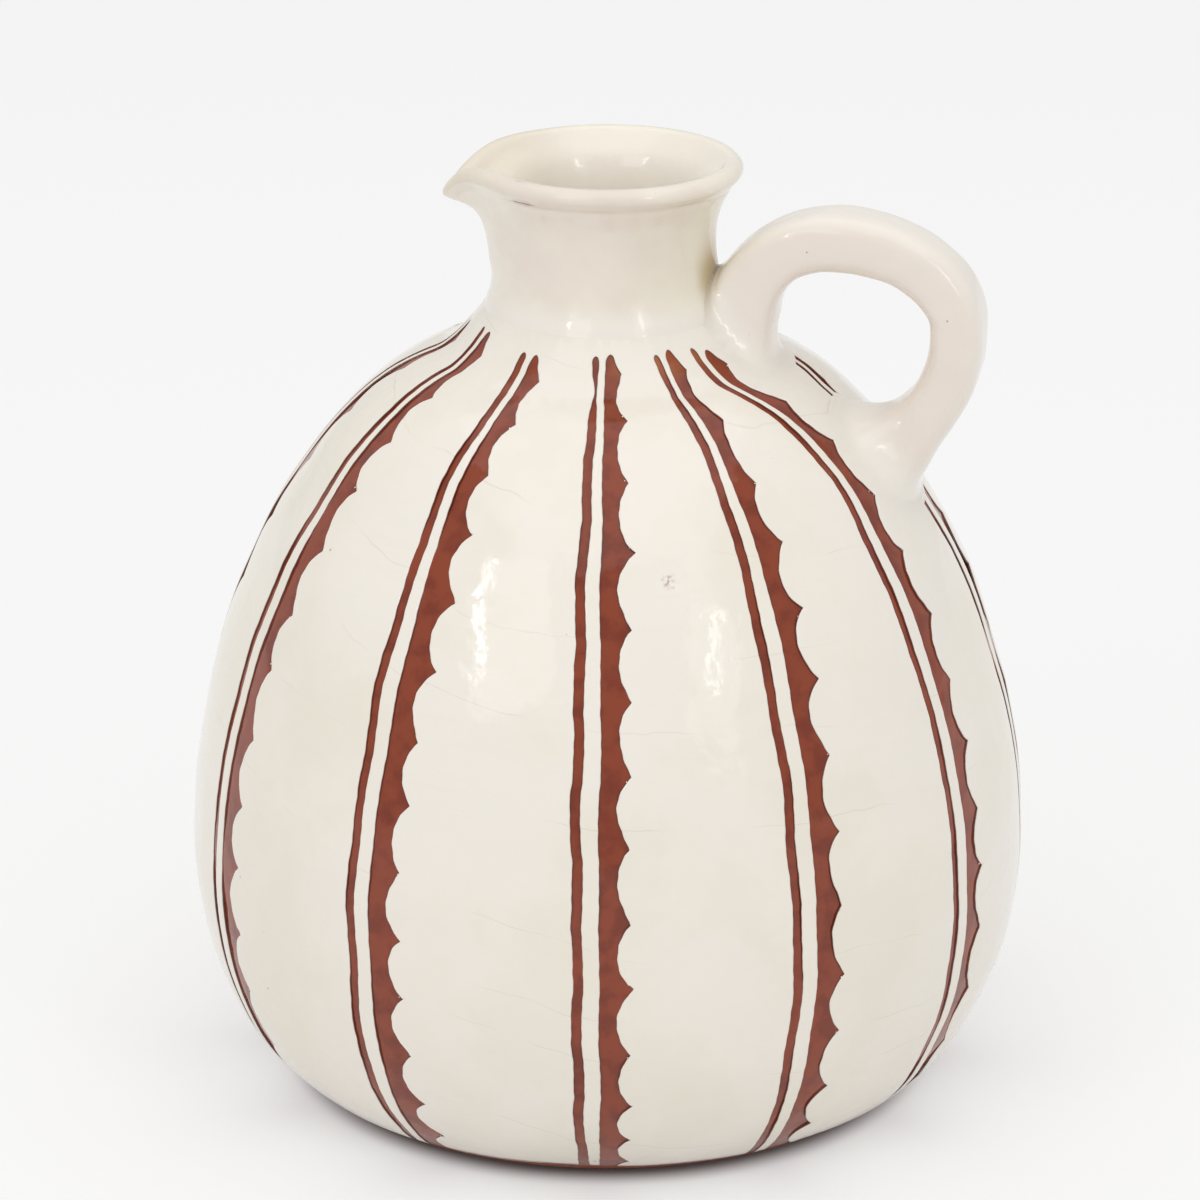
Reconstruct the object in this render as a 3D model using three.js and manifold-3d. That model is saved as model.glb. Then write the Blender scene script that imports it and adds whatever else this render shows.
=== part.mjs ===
// Stoneware pitcher in millimetres, +Z up, origin at the centre of the foot on the resting plane.
// The handle points along +X and the spout along -X. A red-brown clay belly carries a coat of pale
// slip, and strips of the slip are cut away from foot to neck so that the clay shows as stripes.
import * as THREE from 'three';
import { mergeVertices } from 'three/addons/utils/BufferGeometryUtils.js';
import Module from 'manifold-3d';

// Outline of the vessel, stacked from the foot up
const FOOT_RADIUS = 62;
const BELLY_RADIUS = 88.9;
const BELLY_HEIGHT = 52.9;
const SHOULDER_RADIUS = 36.4;
const SHOULDER_RISE = 105.5;
const NECK_RADIUS = 22.6;
const NECK_RISE = 23.3;
const LIP_RADIUS = 27.9;
const LIP_RISE = 18.3;

// How far each curve of the outline keeps its direction as it leaves a joining point
const FOOT_LEAN_DEG = 13;
const FOOT_SWEEP = 12.4;
const BELLY_SWEEP_DOWN = 31.4;
const BELLY_SWEEP_UP = 40.9;
const SHOULDER_LEAN_DEG = 21.2;
const SHOULDER_SWEEP_DOWN = 32.5;
const SHOULDER_SWEEP_UP = 4.3;
const WAIST_SWEEP_DOWN = 12.7;
const WAIST_SWEEP_UP = 6;
const LIP_FLARE_DEG = 38;
const LIP_SWEEP = 6;

// Walls
const WALL = 5;
const FLOOR = 7;
const FLOOR_FILLET = 5;
const NECK_WALL = 3.8;
const LIP_THICKNESS = 4.1;
const FOOT_RING_WIDTH = 9;
const FOOT_RECESS = 1.5;
const SEAM_DROP = 12.7; // from the waist of the neck down to the seam between neck and belly

// Slip coat and the cuts through it
const SLIP_THICKNESS = 0.65;
const SLIP_FOOT_MARGIN = 4;
const COLLAR_LENGTH = 4.2; // uncut slip between the stripes and the neck
const STRIPE_COUNT = 12;
const STRIPE_START_DEG = -171;
const STRIPE_DRIFT_DEG = [1, -1.1, 0.7, 1.9, 0.8, -0.9, -3.5, -1.5, 0.6, 1.2, -0.8, -0.4];
const LINE_WIDTH = 1.9;
const RIB_WIDTH = 3.5;
const BAND_WIDTH = 3.5;
const SCALLOP_DEPTH = 3;
const SCALLOP_PITCH = 14;
const STRIPE_TAPER = 0.65; // width left at the top of a stripe
const STRIPE_TAPER_LENGTH = 60;

// Spout
const SPOUT_PULL = 6.8;
const SPOUT_DROOP = 7.4;
const SPOUT_DEPTH = 31; // how far below the rim the pull reaches
const SPOUT_FAIRING = 1.1; // power with which the pull dies out on the way down
const SPOUT_TIP_SOFTNESS_DEG = 12;

// Handle, a pulled coil that springs from the shoulder beside the neck and comes round to it again
const HANDLE_SPRING = 3; // down the shoulder from the neck seam
const HANDLE_START_DEG = 80;
const HANDLE_START_SWEEP = 11;
const HANDLE_CREST_REACH = 20.5;
const HANDLE_CREST_RISE = 19;
const HANDLE_REACH = 46;
const HANDLE_ELBOW_DROP = 16.9;
const HANDLE_ROOT_DROP = 27;
const HANDLE_END_DEG = 57;
const HANDLE_END_SWEEP = 12;
const HANDLE_WIDTH = 16;
const HANDLE_THICKNESS = 12.2;
const HANDLE_ELBOW_THICKNESS = 11.2;
const HANDLE_ROOT_LENGTH = 9; // how far each end runs into the vessel before it is trimmed
const HANDLE_FLARE = 0.2;
const HANDLE_FLARE_LENGTH = 10;

// Clearance between touching pieces
const SEAT_GAP = 0.3;

// Fineness of the solids
const BELLY_SEGMENTS = 36;
const COLLAR_SEGMENTS = 40;
const FACET_DEG = 13;
const SCALLOP_STEPS = 3;
const NECK_STEP_DEG = 10;
const SPOUT_STEP_DEG = 5;
const HANDLE_SIDES = 14;
const HANDLE_STEPS = 30;
const ROLL_STEPS = 6;
const ROW_BEND_DEG = 7.5;
const INSIDE_BEND_DEG = 12;
const NECK_BEND_DEG = 10;
const BEND_SEARCH_STEP = 0.5;

const CLAY_COLOUR = 0x7f3c2d;
const SLIP_COLOUR = 0xece4d6;
const NECK_COLOUR = 0xe5d9cc;
const HANDLE_COLOUR = 0xe8dcd1;

const shoulderHeight = BELLY_HEIGHT + SHOULDER_RISE;
const waistHeight = shoulderHeight + NECK_RISE;
const rimHeight = waistHeight + LIP_RISE;
const ELLIPSE_SWEEP = 0.55; // share of a half axis that makes a quarter ellipse from one curve
const radians = THREE.MathUtils.degToRad;
const smooth = (value, from, to) => THREE.MathUtils.smoothstep(value, from, to);

// A point along a slope, used for the handles of the outline's curves
const along = (point, degrees, length) =>
  new THREE.Vector2(Math.cos(radians(degrees)), Math.sin(radians(degrees)))
    .multiplyScalar(length)
    .add(point);

const foot = new THREE.Vector2(FOOT_RADIUS, 0);
const belly = new THREE.Vector2(BELLY_RADIUS, BELLY_HEIGHT);
const shoulder = new THREE.Vector2(SHOULDER_RADIUS, shoulderHeight);
const waist = new THREE.Vector2(NECK_RADIUS, waistHeight);
const lipCentre = new THREE.Vector2(LIP_RADIUS - LIP_THICKNESS / 2, rimHeight - LIP_THICKNESS / 2);
const lipEdge = along(lipCentre, -LIP_FLARE_DEG, LIP_THICKNESS / 2);

// Outside of the whole vessel as radius and height, measured by its length from the foot
const outline = new THREE.CurvePath();
outline.add(new THREE.CubicBezierCurve(
  foot,
  along(foot, FOOT_LEAN_DEG, FOOT_SWEEP),
  along(belly, -90, BELLY_SWEEP_DOWN),
  belly,
));
outline.add(new THREE.CubicBezierCurve(
  belly,
  along(belly, 90, BELLY_SWEEP_UP),
  along(shoulder, -SHOULDER_LEAN_DEG, SHOULDER_SWEEP_DOWN),
  shoulder,
));
outline.add(new THREE.CubicBezierCurve(
  shoulder,
  along(shoulder, 180 - SHOULDER_LEAN_DEG, SHOULDER_SWEEP_UP),
  along(waist, -90, WAIST_SWEEP_DOWN),
  waist,
));
outline.add(new THREE.CubicBezierCurve(
  waist,
  along(waist, 90, WAIST_SWEEP_UP),
  along(lipEdge, -90 - LIP_FLARE_DEG, LIP_SWEEP),
  lipEdge,
));
const [bellyReach, shoulderReach, waistReach, outlineLength] = outline.getCurveLengths();

// Radius and height at a distance along the outline, moved inwards by a depth
function wallPoint(distance, depth = 0) {
  const share = THREE.MathUtils.clamp(distance / outlineLength, 0, 1);
  const tangent = outline.getTangent(share);
  const inward = new THREE.Vector2(-tangent.y, tangent.x);
  return outline.getPoint(share).addScaledVector(inward, depth);
}

// Distance along the outline at which a height is reached, between two distances
function distanceAtHeight(height, low, high) {
  let [below, above] = [low, high];
  while (above - below > 1e-4) {
    const middle = (below + above) / 2;
    if (wallPoint(middle).y < height) below = middle;
    else above = middle;
  }
  return below;
}

const spaced = (from, to, step) => {
  const count = Math.max(2, Math.ceil((to - from) / step));
  return Array.from({ length: count + 1 }, (_, i) => from + ((to - from) * i) / count);
};

// Distances along a stretch of the outline, one for each few degrees that it bends
function bendRows(from, to, bendDegrees = ROW_BEND_DEG) {
  const headingAt = (distance) => outline.getTangent(distance / outlineLength).angle();
  const rows = [from];
  spaced(from, to, BEND_SEARCH_STEP).slice(1, -2).forEach((distance) => {
    const bend = Math.abs(headingAt(distance) - headingAt(rows.at(-1)));
    if (bend > radians(bendDegrees)) rows.push(distance);
  });
  return [...rows, to];
}

const place = (point, angle) =>
  new THREE.Vector3(point.x * Math.cos(angle), point.x * Math.sin(angle), point.y);

// Joins closed rings of points into one closed skin. An endless skin runs back to its first ring,
// and any other is closed at both ends by strips across its first and last rings.
function loft(rings, endless = false) {
  const size = rings[0].length;
  const last = rings.length - 1;
  const indices = [];
  for (let i = 0; i < (endless ? rings.length : last); i += 1) {
    const near = i * size;
    const far = ((i + 1) % rings.length) * size;
    for (let k = 0; k < size; k += 1) {
      const next = (k + 1) % size;
      indices.push(near + k, near + next, far + next, near + k, far + next, far + k);
    }
  }
  for (let k = 0; !endless && k < size / 2 - 1; k += 1) {
    const [a, b, c, d] = [k, k + 1, size - 2 - k, size - 1 - k];
    const end = last * size;
    indices.push(a, c, b, a, d, c);
    indices.push(end + a, end + b, end + c, end + a, end + c, end + d);
  }
  const geometry = new THREE.BufferGeometry().setFromPoints(rings.flat());
  geometry.setIndex(indices);
  return geometry;
}

function turned(points, segments) {
  return new THREE.LatheGeometry(points, segments).rotateX(Math.PI / 2);
}

// Slip lies over the clay with a seat gap that its flat facets keep too
const seamDistance = distanceAtHeight(waistHeight - SEAM_DROP, shoulderReach, waistReach);
const facetSag = BELLY_RADIUS * (1 - Math.cos(radians(FACET_DEG / 2)));
const clayDepth = SLIP_THICKNESS + SEAT_GAP + facetSag;
const innerDepth = clayDepth + WALL;

function makeBelly() {
  const top = seamDistance - SEAT_GAP / 2;
  const outside = bendRows(0, top).map((row) => wallPoint(row, clayDepth));
  const inside = bendRows(0, top, INSIDE_BEND_DEG)
    .map((row) => wallPoint(row, innerDepth))
    .filter((point) => point.y > FLOOR + SEAT_GAP)
    .reverse();
  const ringInside = FOOT_RADIUS - FOOT_RING_WIDTH;
  const profile = [
    new THREE.Vector2(0, FOOT_RECESS),
    new THREE.Vector2(ringInside - FOOT_RECESS, FOOT_RECESS),
    new THREE.Vector2(ringInside, 0),
    new THREE.Vector2(outside[0].x, 0),
    ...outside,
    ...inside,
    new THREE.Vector2(inside.at(-1).x - FLOOR_FILLET, FLOOR),
    new THREE.Vector2(0, FLOOR),
  ];
  return turned(profile, BELLY_SEGMENTS);
}

// How far the lip is pulled out at an angle from the middle of the spout: the two sides of the
// spout run straight from its tip to touch the round of the lip
const spoutHalfAngle = Math.acos(LIP_RADIUS / (LIP_RADIUS + SPOUT_PULL));
function spoutPull(angle) {
  const rounding = radians(SPOUT_TIP_SOFTNESS_DEG);
  const softened = Math.hypot(angle, rounding) - rounding;
  if (softened >= spoutHalfAngle) return 0;
  return LIP_RADIUS / Math.cos(spoutHalfAngle - softened) - LIP_RADIUS;
}

function makeNeck() {
  const bottom = seamDistance + SEAT_GAP / 2;
  const rows = bendRows(bottom, outlineLength, NECK_BEND_DEG);
  const depthAt = (row) => {
    const thinned = THREE.MathUtils.lerp(innerDepth, NECK_WALL, smooth(row, bottom, waistReach));
    return THREE.MathUtils.lerp(thinned, LIP_THICKNESS, smooth(row, waistReach, outlineLength));
  };
  const inside = rows.map((row) => wallPoint(row, depthAt(row)));
  const outside = rows.map((row) => wallPoint(row)).reverse();
  const roll = Array.from({ length: ROLL_STEPS - 1 }, (_, i) =>
    along(lipCentre, 180 - LIP_FLARE_DEG - (180 * (i + 1)) / ROLL_STEPS, LIP_THICKNESS / 2));
  const section = [...inside, ...roll, ...outside];

  const spoutReach = THREE.MathUtils.radToDeg(spoutHalfAngle) + SPOUT_TIP_SOFTNESS_DEG;
  const angles = [
    ...spaced(-spoutReach, spoutReach, SPOUT_STEP_DEG).slice(1),
    ...spaced(spoutReach, 360 - spoutReach, NECK_STEP_DEG).slice(1),
  ];
  const rings = angles.map((degrees) => {
    const turn = radians(degrees);
    const pull = spoutPull(turn > Math.PI ? turn - 2 * Math.PI : turn);
    return section.map((point) => {
      const depth = (rimHeight - point.y) / SPOUT_DEPTH;
      const rise = Math.max(0, 1 - depth) ** SPOUT_FAIRING;
      const droop = SPOUT_DROOP * rise * (pull / SPOUT_PULL) ** 2;
      return place(new THREE.Vector2(point.x + pull * rise, point.y - droop), Math.PI + turn);
    });
  });
  return loft(rings, true);
}

// Slip seats on the clay: its inner face stands out from the clay's round by the seat gap at the
// middle of each facet, and its outer face lies on the outline
function slipRing(row, angles) {
  const step = (angles.at(-1) - angles[0]) / (angles.length - 1);
  const seat = wallPoint(row, clayDepth - SEAT_GAP);
  seat.x /= Math.cos(step / 2);
  const face = wallPoint(row);
  return [
    ...angles.map((angle) => place(face, angle)),
    ...angles.map((angle) => place(seat, angle)).reverse(),
  ];
}

const stripeBottom = SLIP_FOOT_MARGIN;
const stripeTop = seamDistance - COLLAR_LENGTH;

function makeSlipCollar() {
  const rows = bendRows(stripeTop + SEAT_GAP, seamDistance - SEAT_GAP / 2);
  const seatStep = Math.cos(Math.PI / COLLAR_SEGMENTS);
  const inside = rows.map((row) => wallPoint(row, clayDepth - SEAT_GAP));
  inside.forEach((point) => { point.x /= seatStep; });
  const section = [...inside, ...rows.map((row) => wallPoint(row)).reverse()];
  const rings = Array.from({ length: COLLAR_SEGMENTS }, (_, i) =>
    section.map((point) => place(point, (2 * Math.PI * i) / COLLAR_SEGMENTS)));
  return loft(rings, true);
}

// Stripes: from one side to the other each has a fine line, a rib of slip and a scalloped band.
// The straight edge of the band keeps one angle from foot to neck.
const stripeAngle = (index) => {
  const drift = STRIPE_DRIFT_DEG[index % STRIPE_COUNT % STRIPE_DRIFT_DEG.length];
  return radians(STRIPE_START_DEG + (360 * index) / STRIPE_COUNT + drift);
};
const taperAt = (row) =>
  THREE.MathUtils.lerp(STRIPE_TAPER, 1, smooth(stripeTop - row, 0, STRIPE_TAPER_LENGTH));
const scallopCount = Math.max(1, Math.round((stripeTop - stripeBottom) / SCALLOP_PITCH));
const scallopPitch = (stripeTop - stripeBottom) / scallopCount;

function bandWidthAt(row) {
  const share = ((row - stripeBottom) / scallopPitch) % 1;
  const hollow = 4 * share * (1 - share);
  return BAND_WIDTH + SCALLOP_DEPTH * (1 - hollow);
}

function makeSlipRib(index) {
  const rows = bendRows(stripeBottom, stripeTop);
  return loft(rows.map((row) => {
    const width = (RIB_WIDTH * taperAt(row)) / wallPoint(row).x;
    return slipRing(row, [stripeAngle(index) - width, stripeAngle(index)]);
  }));
}

function makeSlipPanel(index) {
  const cutWidth = LINE_WIDTH + RIB_WIDTH + BAND_WIDTH;
  const span = 360 / STRIPE_COUNT - THREE.MathUtils.radToDeg(cutWidth / BELLY_RADIUS);
  const columns = Math.ceil(span / FACET_DEG);
  const rows = spaced(stripeBottom, stripeTop, scallopPitch / SCALLOP_STEPS);
  return loft(rows.map((row) => {
    const scale = taperAt(row) / wallPoint(row).x;
    const left = stripeAngle(index) + bandWidthAt(row) * scale;
    const right = stripeAngle(index + 1) - (RIB_WIDTH + LINE_WIDTH) * scale;
    return slipRing(row, spaced(left, right, (right - left) / columns));
  }));
}

// Middle line of the handle in the XZ plane: root, rise to the crest, elbow, fall to the other root
function handleLine() {
  const startDistance = seamDistance - HANDLE_SPRING;
  const start = wallPoint(startDistance);
  const end = wallPoint(distanceAtHeight(start.y - HANDLE_ROOT_DROP, bellyReach, startDistance));
  const crest = new THREE.Vector2(start.x + HANDLE_CREST_REACH, start.y + HANDLE_CREST_RISE);
  const elbow = new THREE.Vector2(start.x + HANDLE_REACH, crest.y - HANDLE_ELBOW_DROP);
  const line = new THREE.CurvePath();
  line.add(new THREE.LineCurve(along(start, HANDLE_START_DEG, -HANDLE_ROOT_LENGTH), start));
  line.add(new THREE.CubicBezierCurve(
    start,
    along(start, HANDLE_START_DEG, HANDLE_START_SWEEP),
    along(crest, 180, ELLIPSE_SWEEP * HANDLE_CREST_REACH),
    crest,
  ));
  line.add(new THREE.CubicBezierCurve(
    crest,
    along(crest, 0, ELLIPSE_SWEEP * (elbow.x - crest.x)),
    along(elbow, 90, ELLIPSE_SWEEP * HANDLE_ELBOW_DROP),
    elbow,
  ));
  line.add(new THREE.CubicBezierCurve(
    elbow,
    along(elbow, -90, ELLIPSE_SWEEP * (elbow.y - end.y)),
    along(end, HANDLE_END_DEG, HANDLE_END_SWEEP),
    end,
  ));
  line.add(new THREE.LineCurve(end, along(end, HANDLE_END_DEG, -HANDLE_ROOT_LENGTH)));
  return line;
}

const wasm = await Module();
wasm.setup();

function solidOf(geometry) {
  const bare = geometry.clone();
  bare.deleteAttribute('normal');
  bare.deleteAttribute('uv');
  const merged = mergeVertices(bare);
  return new wasm.Manifold(new wasm.Mesh({
    numProp: 3,
    vertProperties: merged.attributes.position.array,
    triVerts: Uint32Array.from(merged.index.array),
  }));
}

function geometryOf(solid) {
  const mesh = solid.getMesh();
  const geometry = new THREE.BufferGeometry();
  geometry.setAttribute('position', new THREE.BufferAttribute(mesh.vertProperties, 3));
  geometry.setIndex(new THREE.BufferAttribute(mesh.triVerts, 1));
  return geometry;
}

// The room that the vessel takes up, which the handle's ends are trimmed to
function vesselRoom() {
  const outside = bendRows(0, outlineLength).map((row) => wallPoint(row, -SEAT_GAP));
  outside.forEach((point) => { point.x /= Math.cos(Math.PI / BELLY_SEGMENTS); });
  const bottom = new THREE.Vector2(0, outside[0].y);
  const top = new THREE.Vector2(0, outside.at(-1).y);
  return turned([bottom, ...outside, top], BELLY_SEGMENTS);
}

function makeHandle() {
  const line = handleLine();
  const [, crestReach, elbowReach, , length] = line.getCurveLengths();
  const sideways = new THREE.Vector3(0, 1, 0);
  const rings = spaced(0, length, length / HANDLE_STEPS).map((distance) => {
    const middle = line.getPoint(distance / length);
    const tangent = line.getTangent(distance / length);
    const centre = new THREE.Vector3(middle.x, 0, middle.y);
    const upright = new THREE.Vector3(tangent.y, 0, -tangent.x);
    const toSeat = Math.max(0, Math.min(distance, length - distance) - HANDLE_ROOT_LENGTH);
    const flare = 1 + HANDLE_FLARE * Math.exp(-((toSeat / HANDLE_FLARE_LENGTH) ** 2));
    const slimming = smooth(distance, crestReach, elbowReach);
    const thickness = THREE.MathUtils.lerp(HANDLE_THICKNESS, HANDLE_ELBOW_THICKNESS, slimming);
    return Array.from({ length: HANDLE_SIDES }, (_, k) => {
      const turn = (2 * Math.PI * (k + 0.5)) / HANDLE_SIDES;
      return centre.clone()
        .addScaledVector(upright, (thickness / 2) * flare * Math.cos(turn))
        .addScaledVector(sideways, (HANDLE_WIDTH / 2) * flare * Math.sin(turn));
    });
  });
  return geometryOf(solidOf(loft(rings)).subtract(solidOf(vesselRoom())));
}

const glazed = (colour) => new THREE.MeshStandardMaterial({ color: colour, roughness: 0.2, metalness: 0 });
const pitcher = new THREE.Group();

function addPiece(name, geometry, colour) {
  const mesh = new THREE.Mesh(geometry, glazed(colour));
  mesh.name = name;
  pitcher.add(mesh);
}

addPiece('belly', makeBelly(), CLAY_COLOUR);
addPiece('neck', makeNeck(), NECK_COLOUR);
addPiece('handle', makeHandle(), HANDLE_COLOUR);
addPiece('slip_collar', makeSlipCollar(), SLIP_COLOUR);
for (let index = 0; index < STRIPE_COUNT; index += 1) {
  const number = String(index + 1).padStart(2, '0');
  addPiece(`slip_rib_${number}`, makeSlipRib(index), SLIP_COLOUR);
  addPiece(`slip_panel_${number}`, makeSlipPanel(index), SLIP_COLOUR);
}

export default pitcher;
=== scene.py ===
"""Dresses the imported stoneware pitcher: clay, cut slip coat, neck, pulled handle and a pale stage."""

import math

import bmesh
import bpy
import numpy as np
from bpy.props import FloatProperty, FloatVectorProperty, IntProperty, PointerProperty
from mathutils import Matrix, Vector
from mathutils.geometry import delaunay_2d_cdt


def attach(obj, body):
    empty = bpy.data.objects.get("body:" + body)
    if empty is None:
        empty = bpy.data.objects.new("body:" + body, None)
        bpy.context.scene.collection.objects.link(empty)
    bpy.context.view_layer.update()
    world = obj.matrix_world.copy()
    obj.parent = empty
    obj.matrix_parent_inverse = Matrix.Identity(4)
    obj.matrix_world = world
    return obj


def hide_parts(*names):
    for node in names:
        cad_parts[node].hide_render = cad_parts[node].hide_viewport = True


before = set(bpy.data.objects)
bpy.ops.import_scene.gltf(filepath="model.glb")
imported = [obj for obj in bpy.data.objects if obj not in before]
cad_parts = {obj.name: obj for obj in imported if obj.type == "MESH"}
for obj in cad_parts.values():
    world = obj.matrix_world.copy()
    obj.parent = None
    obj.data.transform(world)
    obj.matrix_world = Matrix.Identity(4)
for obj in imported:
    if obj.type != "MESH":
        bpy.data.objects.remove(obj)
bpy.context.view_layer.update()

bl_info = {
    "name": "Stoneware pitcher",
    "version": (1, 0, 0),
    "blender": (4, 5, 0),
    "location": "3D View > Sidebar > Pitcher",
    "description": "Turned clay, cut slip, neck, handle and glaze of a striped stoneware pitcher",
    "category": "Object",
}

MM = 0.001
BODY = "root"
SURFACE_MAP = "surface"

# Sweeps of the outline's curves, the same as in the solids
FOOT_LEAN = math.radians(13)
FOOT_SWEEP = 12.4 * MM
BELLY_SWEEP_DOWN = 31.4 * MM
BELLY_SWEEP_UP = 40.9 * MM
SHOULDER_LEAN = math.radians(21.2)
SHOULDER_SWEEP_DOWN = 32.5 * MM
SHOULDER_SWEEP_UP = 4.3 * MM
WAIST_SWEEP_DOWN = 12.7 * MM
WAIST_SWEEP_UP = 6 * MM
LIP_FLARE = math.radians(38)
LIP_SWEEP = 6 * MM


def length(name, description, default):
    """A size that the sidebar shows in the scene's units."""
    return FloatProperty(name=name, description=description, default=default, precision=5, unit="LENGTH")


def colour(name, description, red, green, blue):
    """A colour given by its screen values from 0 to 255."""
    screen = np.array((red, green, blue)) / 255
    linear = np.where(screen <= 0.04045, screen / 12.92, ((screen + 0.055) / 1.055) ** 2.4)
    return FloatVectorProperty(
        name=name, description=description, default=tuple(linear), min=0, max=1, subtype="COLOR")


class VesselSizes(bpy.types.PropertyGroup):
    """Sizes of the turned vessel and its neck."""

    foot_radius: length("Foot radius", "Outer radius of the foot", 62 * MM)
    belly_radius: length("Belly radius", "Radius where the belly is widest", 88.9 * MM)
    belly_height: length("Belly height", "Height where the belly is widest", 52.9 * MM)
    shoulder_radius: length("Shoulder radius", "Radius at the top of the shoulder", 36.4 * MM)
    shoulder_height: length("Shoulder height", "Height of the top of the shoulder", 158.4 * MM)
    neck_radius: length("Neck radius", "Radius of the neck's waist", 22.6 * MM)
    waist_height: length("Waist height", "Height of the neck's waist", 181.7 * MM)
    lip_radius: length("Lip radius", "Outer radius of the lip", 27.9 * MM)
    rim_height: length("Rim height", "Height of the rim", 200 * MM)
    lip_thickness: length("Lip thickness", "Thickness of the rolled lip", 4.1 * MM)
    seam_height: length("Seam height", "Height where the slip coat meets the neck", 169 * MM)
    wall: length("Wall", "Thickness of the clay wall", 5 * MM)
    floor: length("Floor", "Thickness of the floor", 7 * MM)
    foot_ring: length("Foot ring", "Width of the ring that the pitcher stands on", 9 * MM)
    foot_recess: length("Foot recess", "Depth of the hollow under the foot", 1.5 * MM)
    spout_pull: length("Spout pull", "How far the spout is pulled out of the lip", 6.8 * MM)
    spout_droop: length("Spout droop", "How far the tip of the spout hangs", 7.4 * MM)
    spout_depth: length("Spout depth", "How far down the neck the spout reaches", 31 * MM)


class StripeSizes(bpy.types.PropertyGroup):
    """Sizes of the slip coat and of the stripes cut through it."""

    coat: length("Coat", "Thickness of the slip coat, which is the depth of the stripes", 0.42 * MM)
    edge: length("Edge", "Width of the soft edge along each cut", 0.38 * MM)
    foot_margin: length("Foot margin", "Bare clay left above the foot", 8.6 * MM)
    line_width: length("Line width", "Width of the fine line", 1.95 * MM)
    rib_width: length("Rib width", "Slip left between the line and the band", 3.5 * MM)
    band_width: length("Band width", "Width of the band between its points", 3.5 * MM)
    scallop_depth: length("Scallop depth", "How far the points of the band stand out", 3.05 * MM)
    scallop_pitch: length("Scallop pitch", "Distance from point to point", 14 * MM)
    start: FloatProperty(
        name="Start", description="Angle of the first band", default=math.radians(-171), subtype="ANGLE")
    seed: IntProperty(name="Seed", description="Number that fixes how uneven the cutting is", default=7)


class HandleSizes(bpy.types.PropertyGroup):
    """Sizes of the pulled handle."""

    width: length("Width", "Width of the coil from side to side", 16 * MM)
    thickness: length("Thickness", "Thickness of the coil at its crest", 12.2 * MM)
    elbow_thickness: length("Elbow thickness", "Thickness of the coil at its elbow", 11.2 * MM)
    spring: length("Spring", "How far below the seam the coil springs", 3 * MM)
    crest_reach: length("Crest reach", "Distance out from the root to the crest", 20.5 * MM)
    crest_rise: length("Crest rise", "Height of the crest above the root", 19 * MM)
    reach: length("Reach", "Distance out from the root to the elbow", 46.0 * MM)
    elbow_drop: length("Elbow drop", "Height of the crest above the elbow", 16.9 * MM)
    root_drop: length("Root drop", "Height of the upper root above the lower one", 27.0 * MM)


class GlazeColours(bpy.types.PropertyGroup):
    """Colours of the clay, the slip and the glaze."""

    clay: colour("Clay", "Red-brown clay under the glaze", 140, 58, 27)
    clay_deep: colour("Deep clay", "Redder patches in the clay", 121, 44, 18)
    # Painted shade along each cut, partly glaze pooled there; the same colour marks the real scratch on
    # the lip.
    cut_shade_and_scratch: colour("Clay edge", "Dark line along each cut", 92, 42, 31)
    flush: colour("Flush", "Orange clay where the glaze is thin", 164, 88, 36)
    bare_clay: colour("Bare clay", "Clay of the foot without glaze", 132, 72, 52)
    slip: colour("Slip", "Pale slip over the belly", 246, 240, 230)
    slip_warm: colour("Warm slip", "Yellower drifts in the slip", 242, 235, 221)
    neck: colour("Neck", "Pale glaze on the neck", 250, 245, 229)
    handle: colour("Handle", "Pinker glaze on the handle", 241, 231, 221)
    blush: colour("Blush", "Pink drifts on the neck and the handle", 240, 229, 217)
    # Lining: lightened as painted light on the shaded inside of the neck and the belly.
    lining: colour("Lining", "Thick pale glaze inside", 251, 244, 232)
    # Painted shade by the handle and inside by the spout, partly yellow glaze pooled in the corner.
    pool: colour("Pool", "Yellow glaze that gathers in hollows", 200, 182, 146)
    rim_wear: colour("Rim wear", "Thin glaze along the lip", 172, 134, 114)
    speck: colour("Speck", "Iron specks in the glaze", 134, 108, 84)
    craze: colour("Craze", "Fine cracks in the glaze", 196, 182, 166)
    floor: colour("Floor", "Pale studio floor as it lights the pitcher", 237, 237, 237)
    floor_seen: colour("Seen floor", "Studio floor as it is seen, under its own glow", 193, 193, 193)


def curve(start, start_pull, end_pull, end, steps=400):
    """Points along a cubic curve without its last point."""
    t = np.arange(steps)[:, None] / steps
    pulls = 3 * (1 - t) ** 2 * t * start_pull + 3 * (1 - t) * t ** 2 * end_pull
    return (1 - t) ** 3 * start + pulls + t ** 3 * end


def along(point, angle, reach):
    """The point moved by a reach along an angle."""
    return point + reach * np.array((math.cos(angle), math.sin(angle)))


def smooth(value, low, high):
    """Rises smoothly from 0 at low to 1 at high."""
    t = np.clip((np.asarray(value, float) - low) / (high - low), 0, 1)
    return t * t * (3 - 2 * t)


def hump(value, middle, width):
    """Rises to 1 at a middle and falls away within about a width on both sides."""
    return np.exp(-((value - middle) / width) ** 2)


def part_way(least, share):
    """From a least value at share 0 up to 1 at share 1."""
    return least + (1 - least) * share


PLACES_AT_ONCE = 2000
TINY = 1e-9


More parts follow.
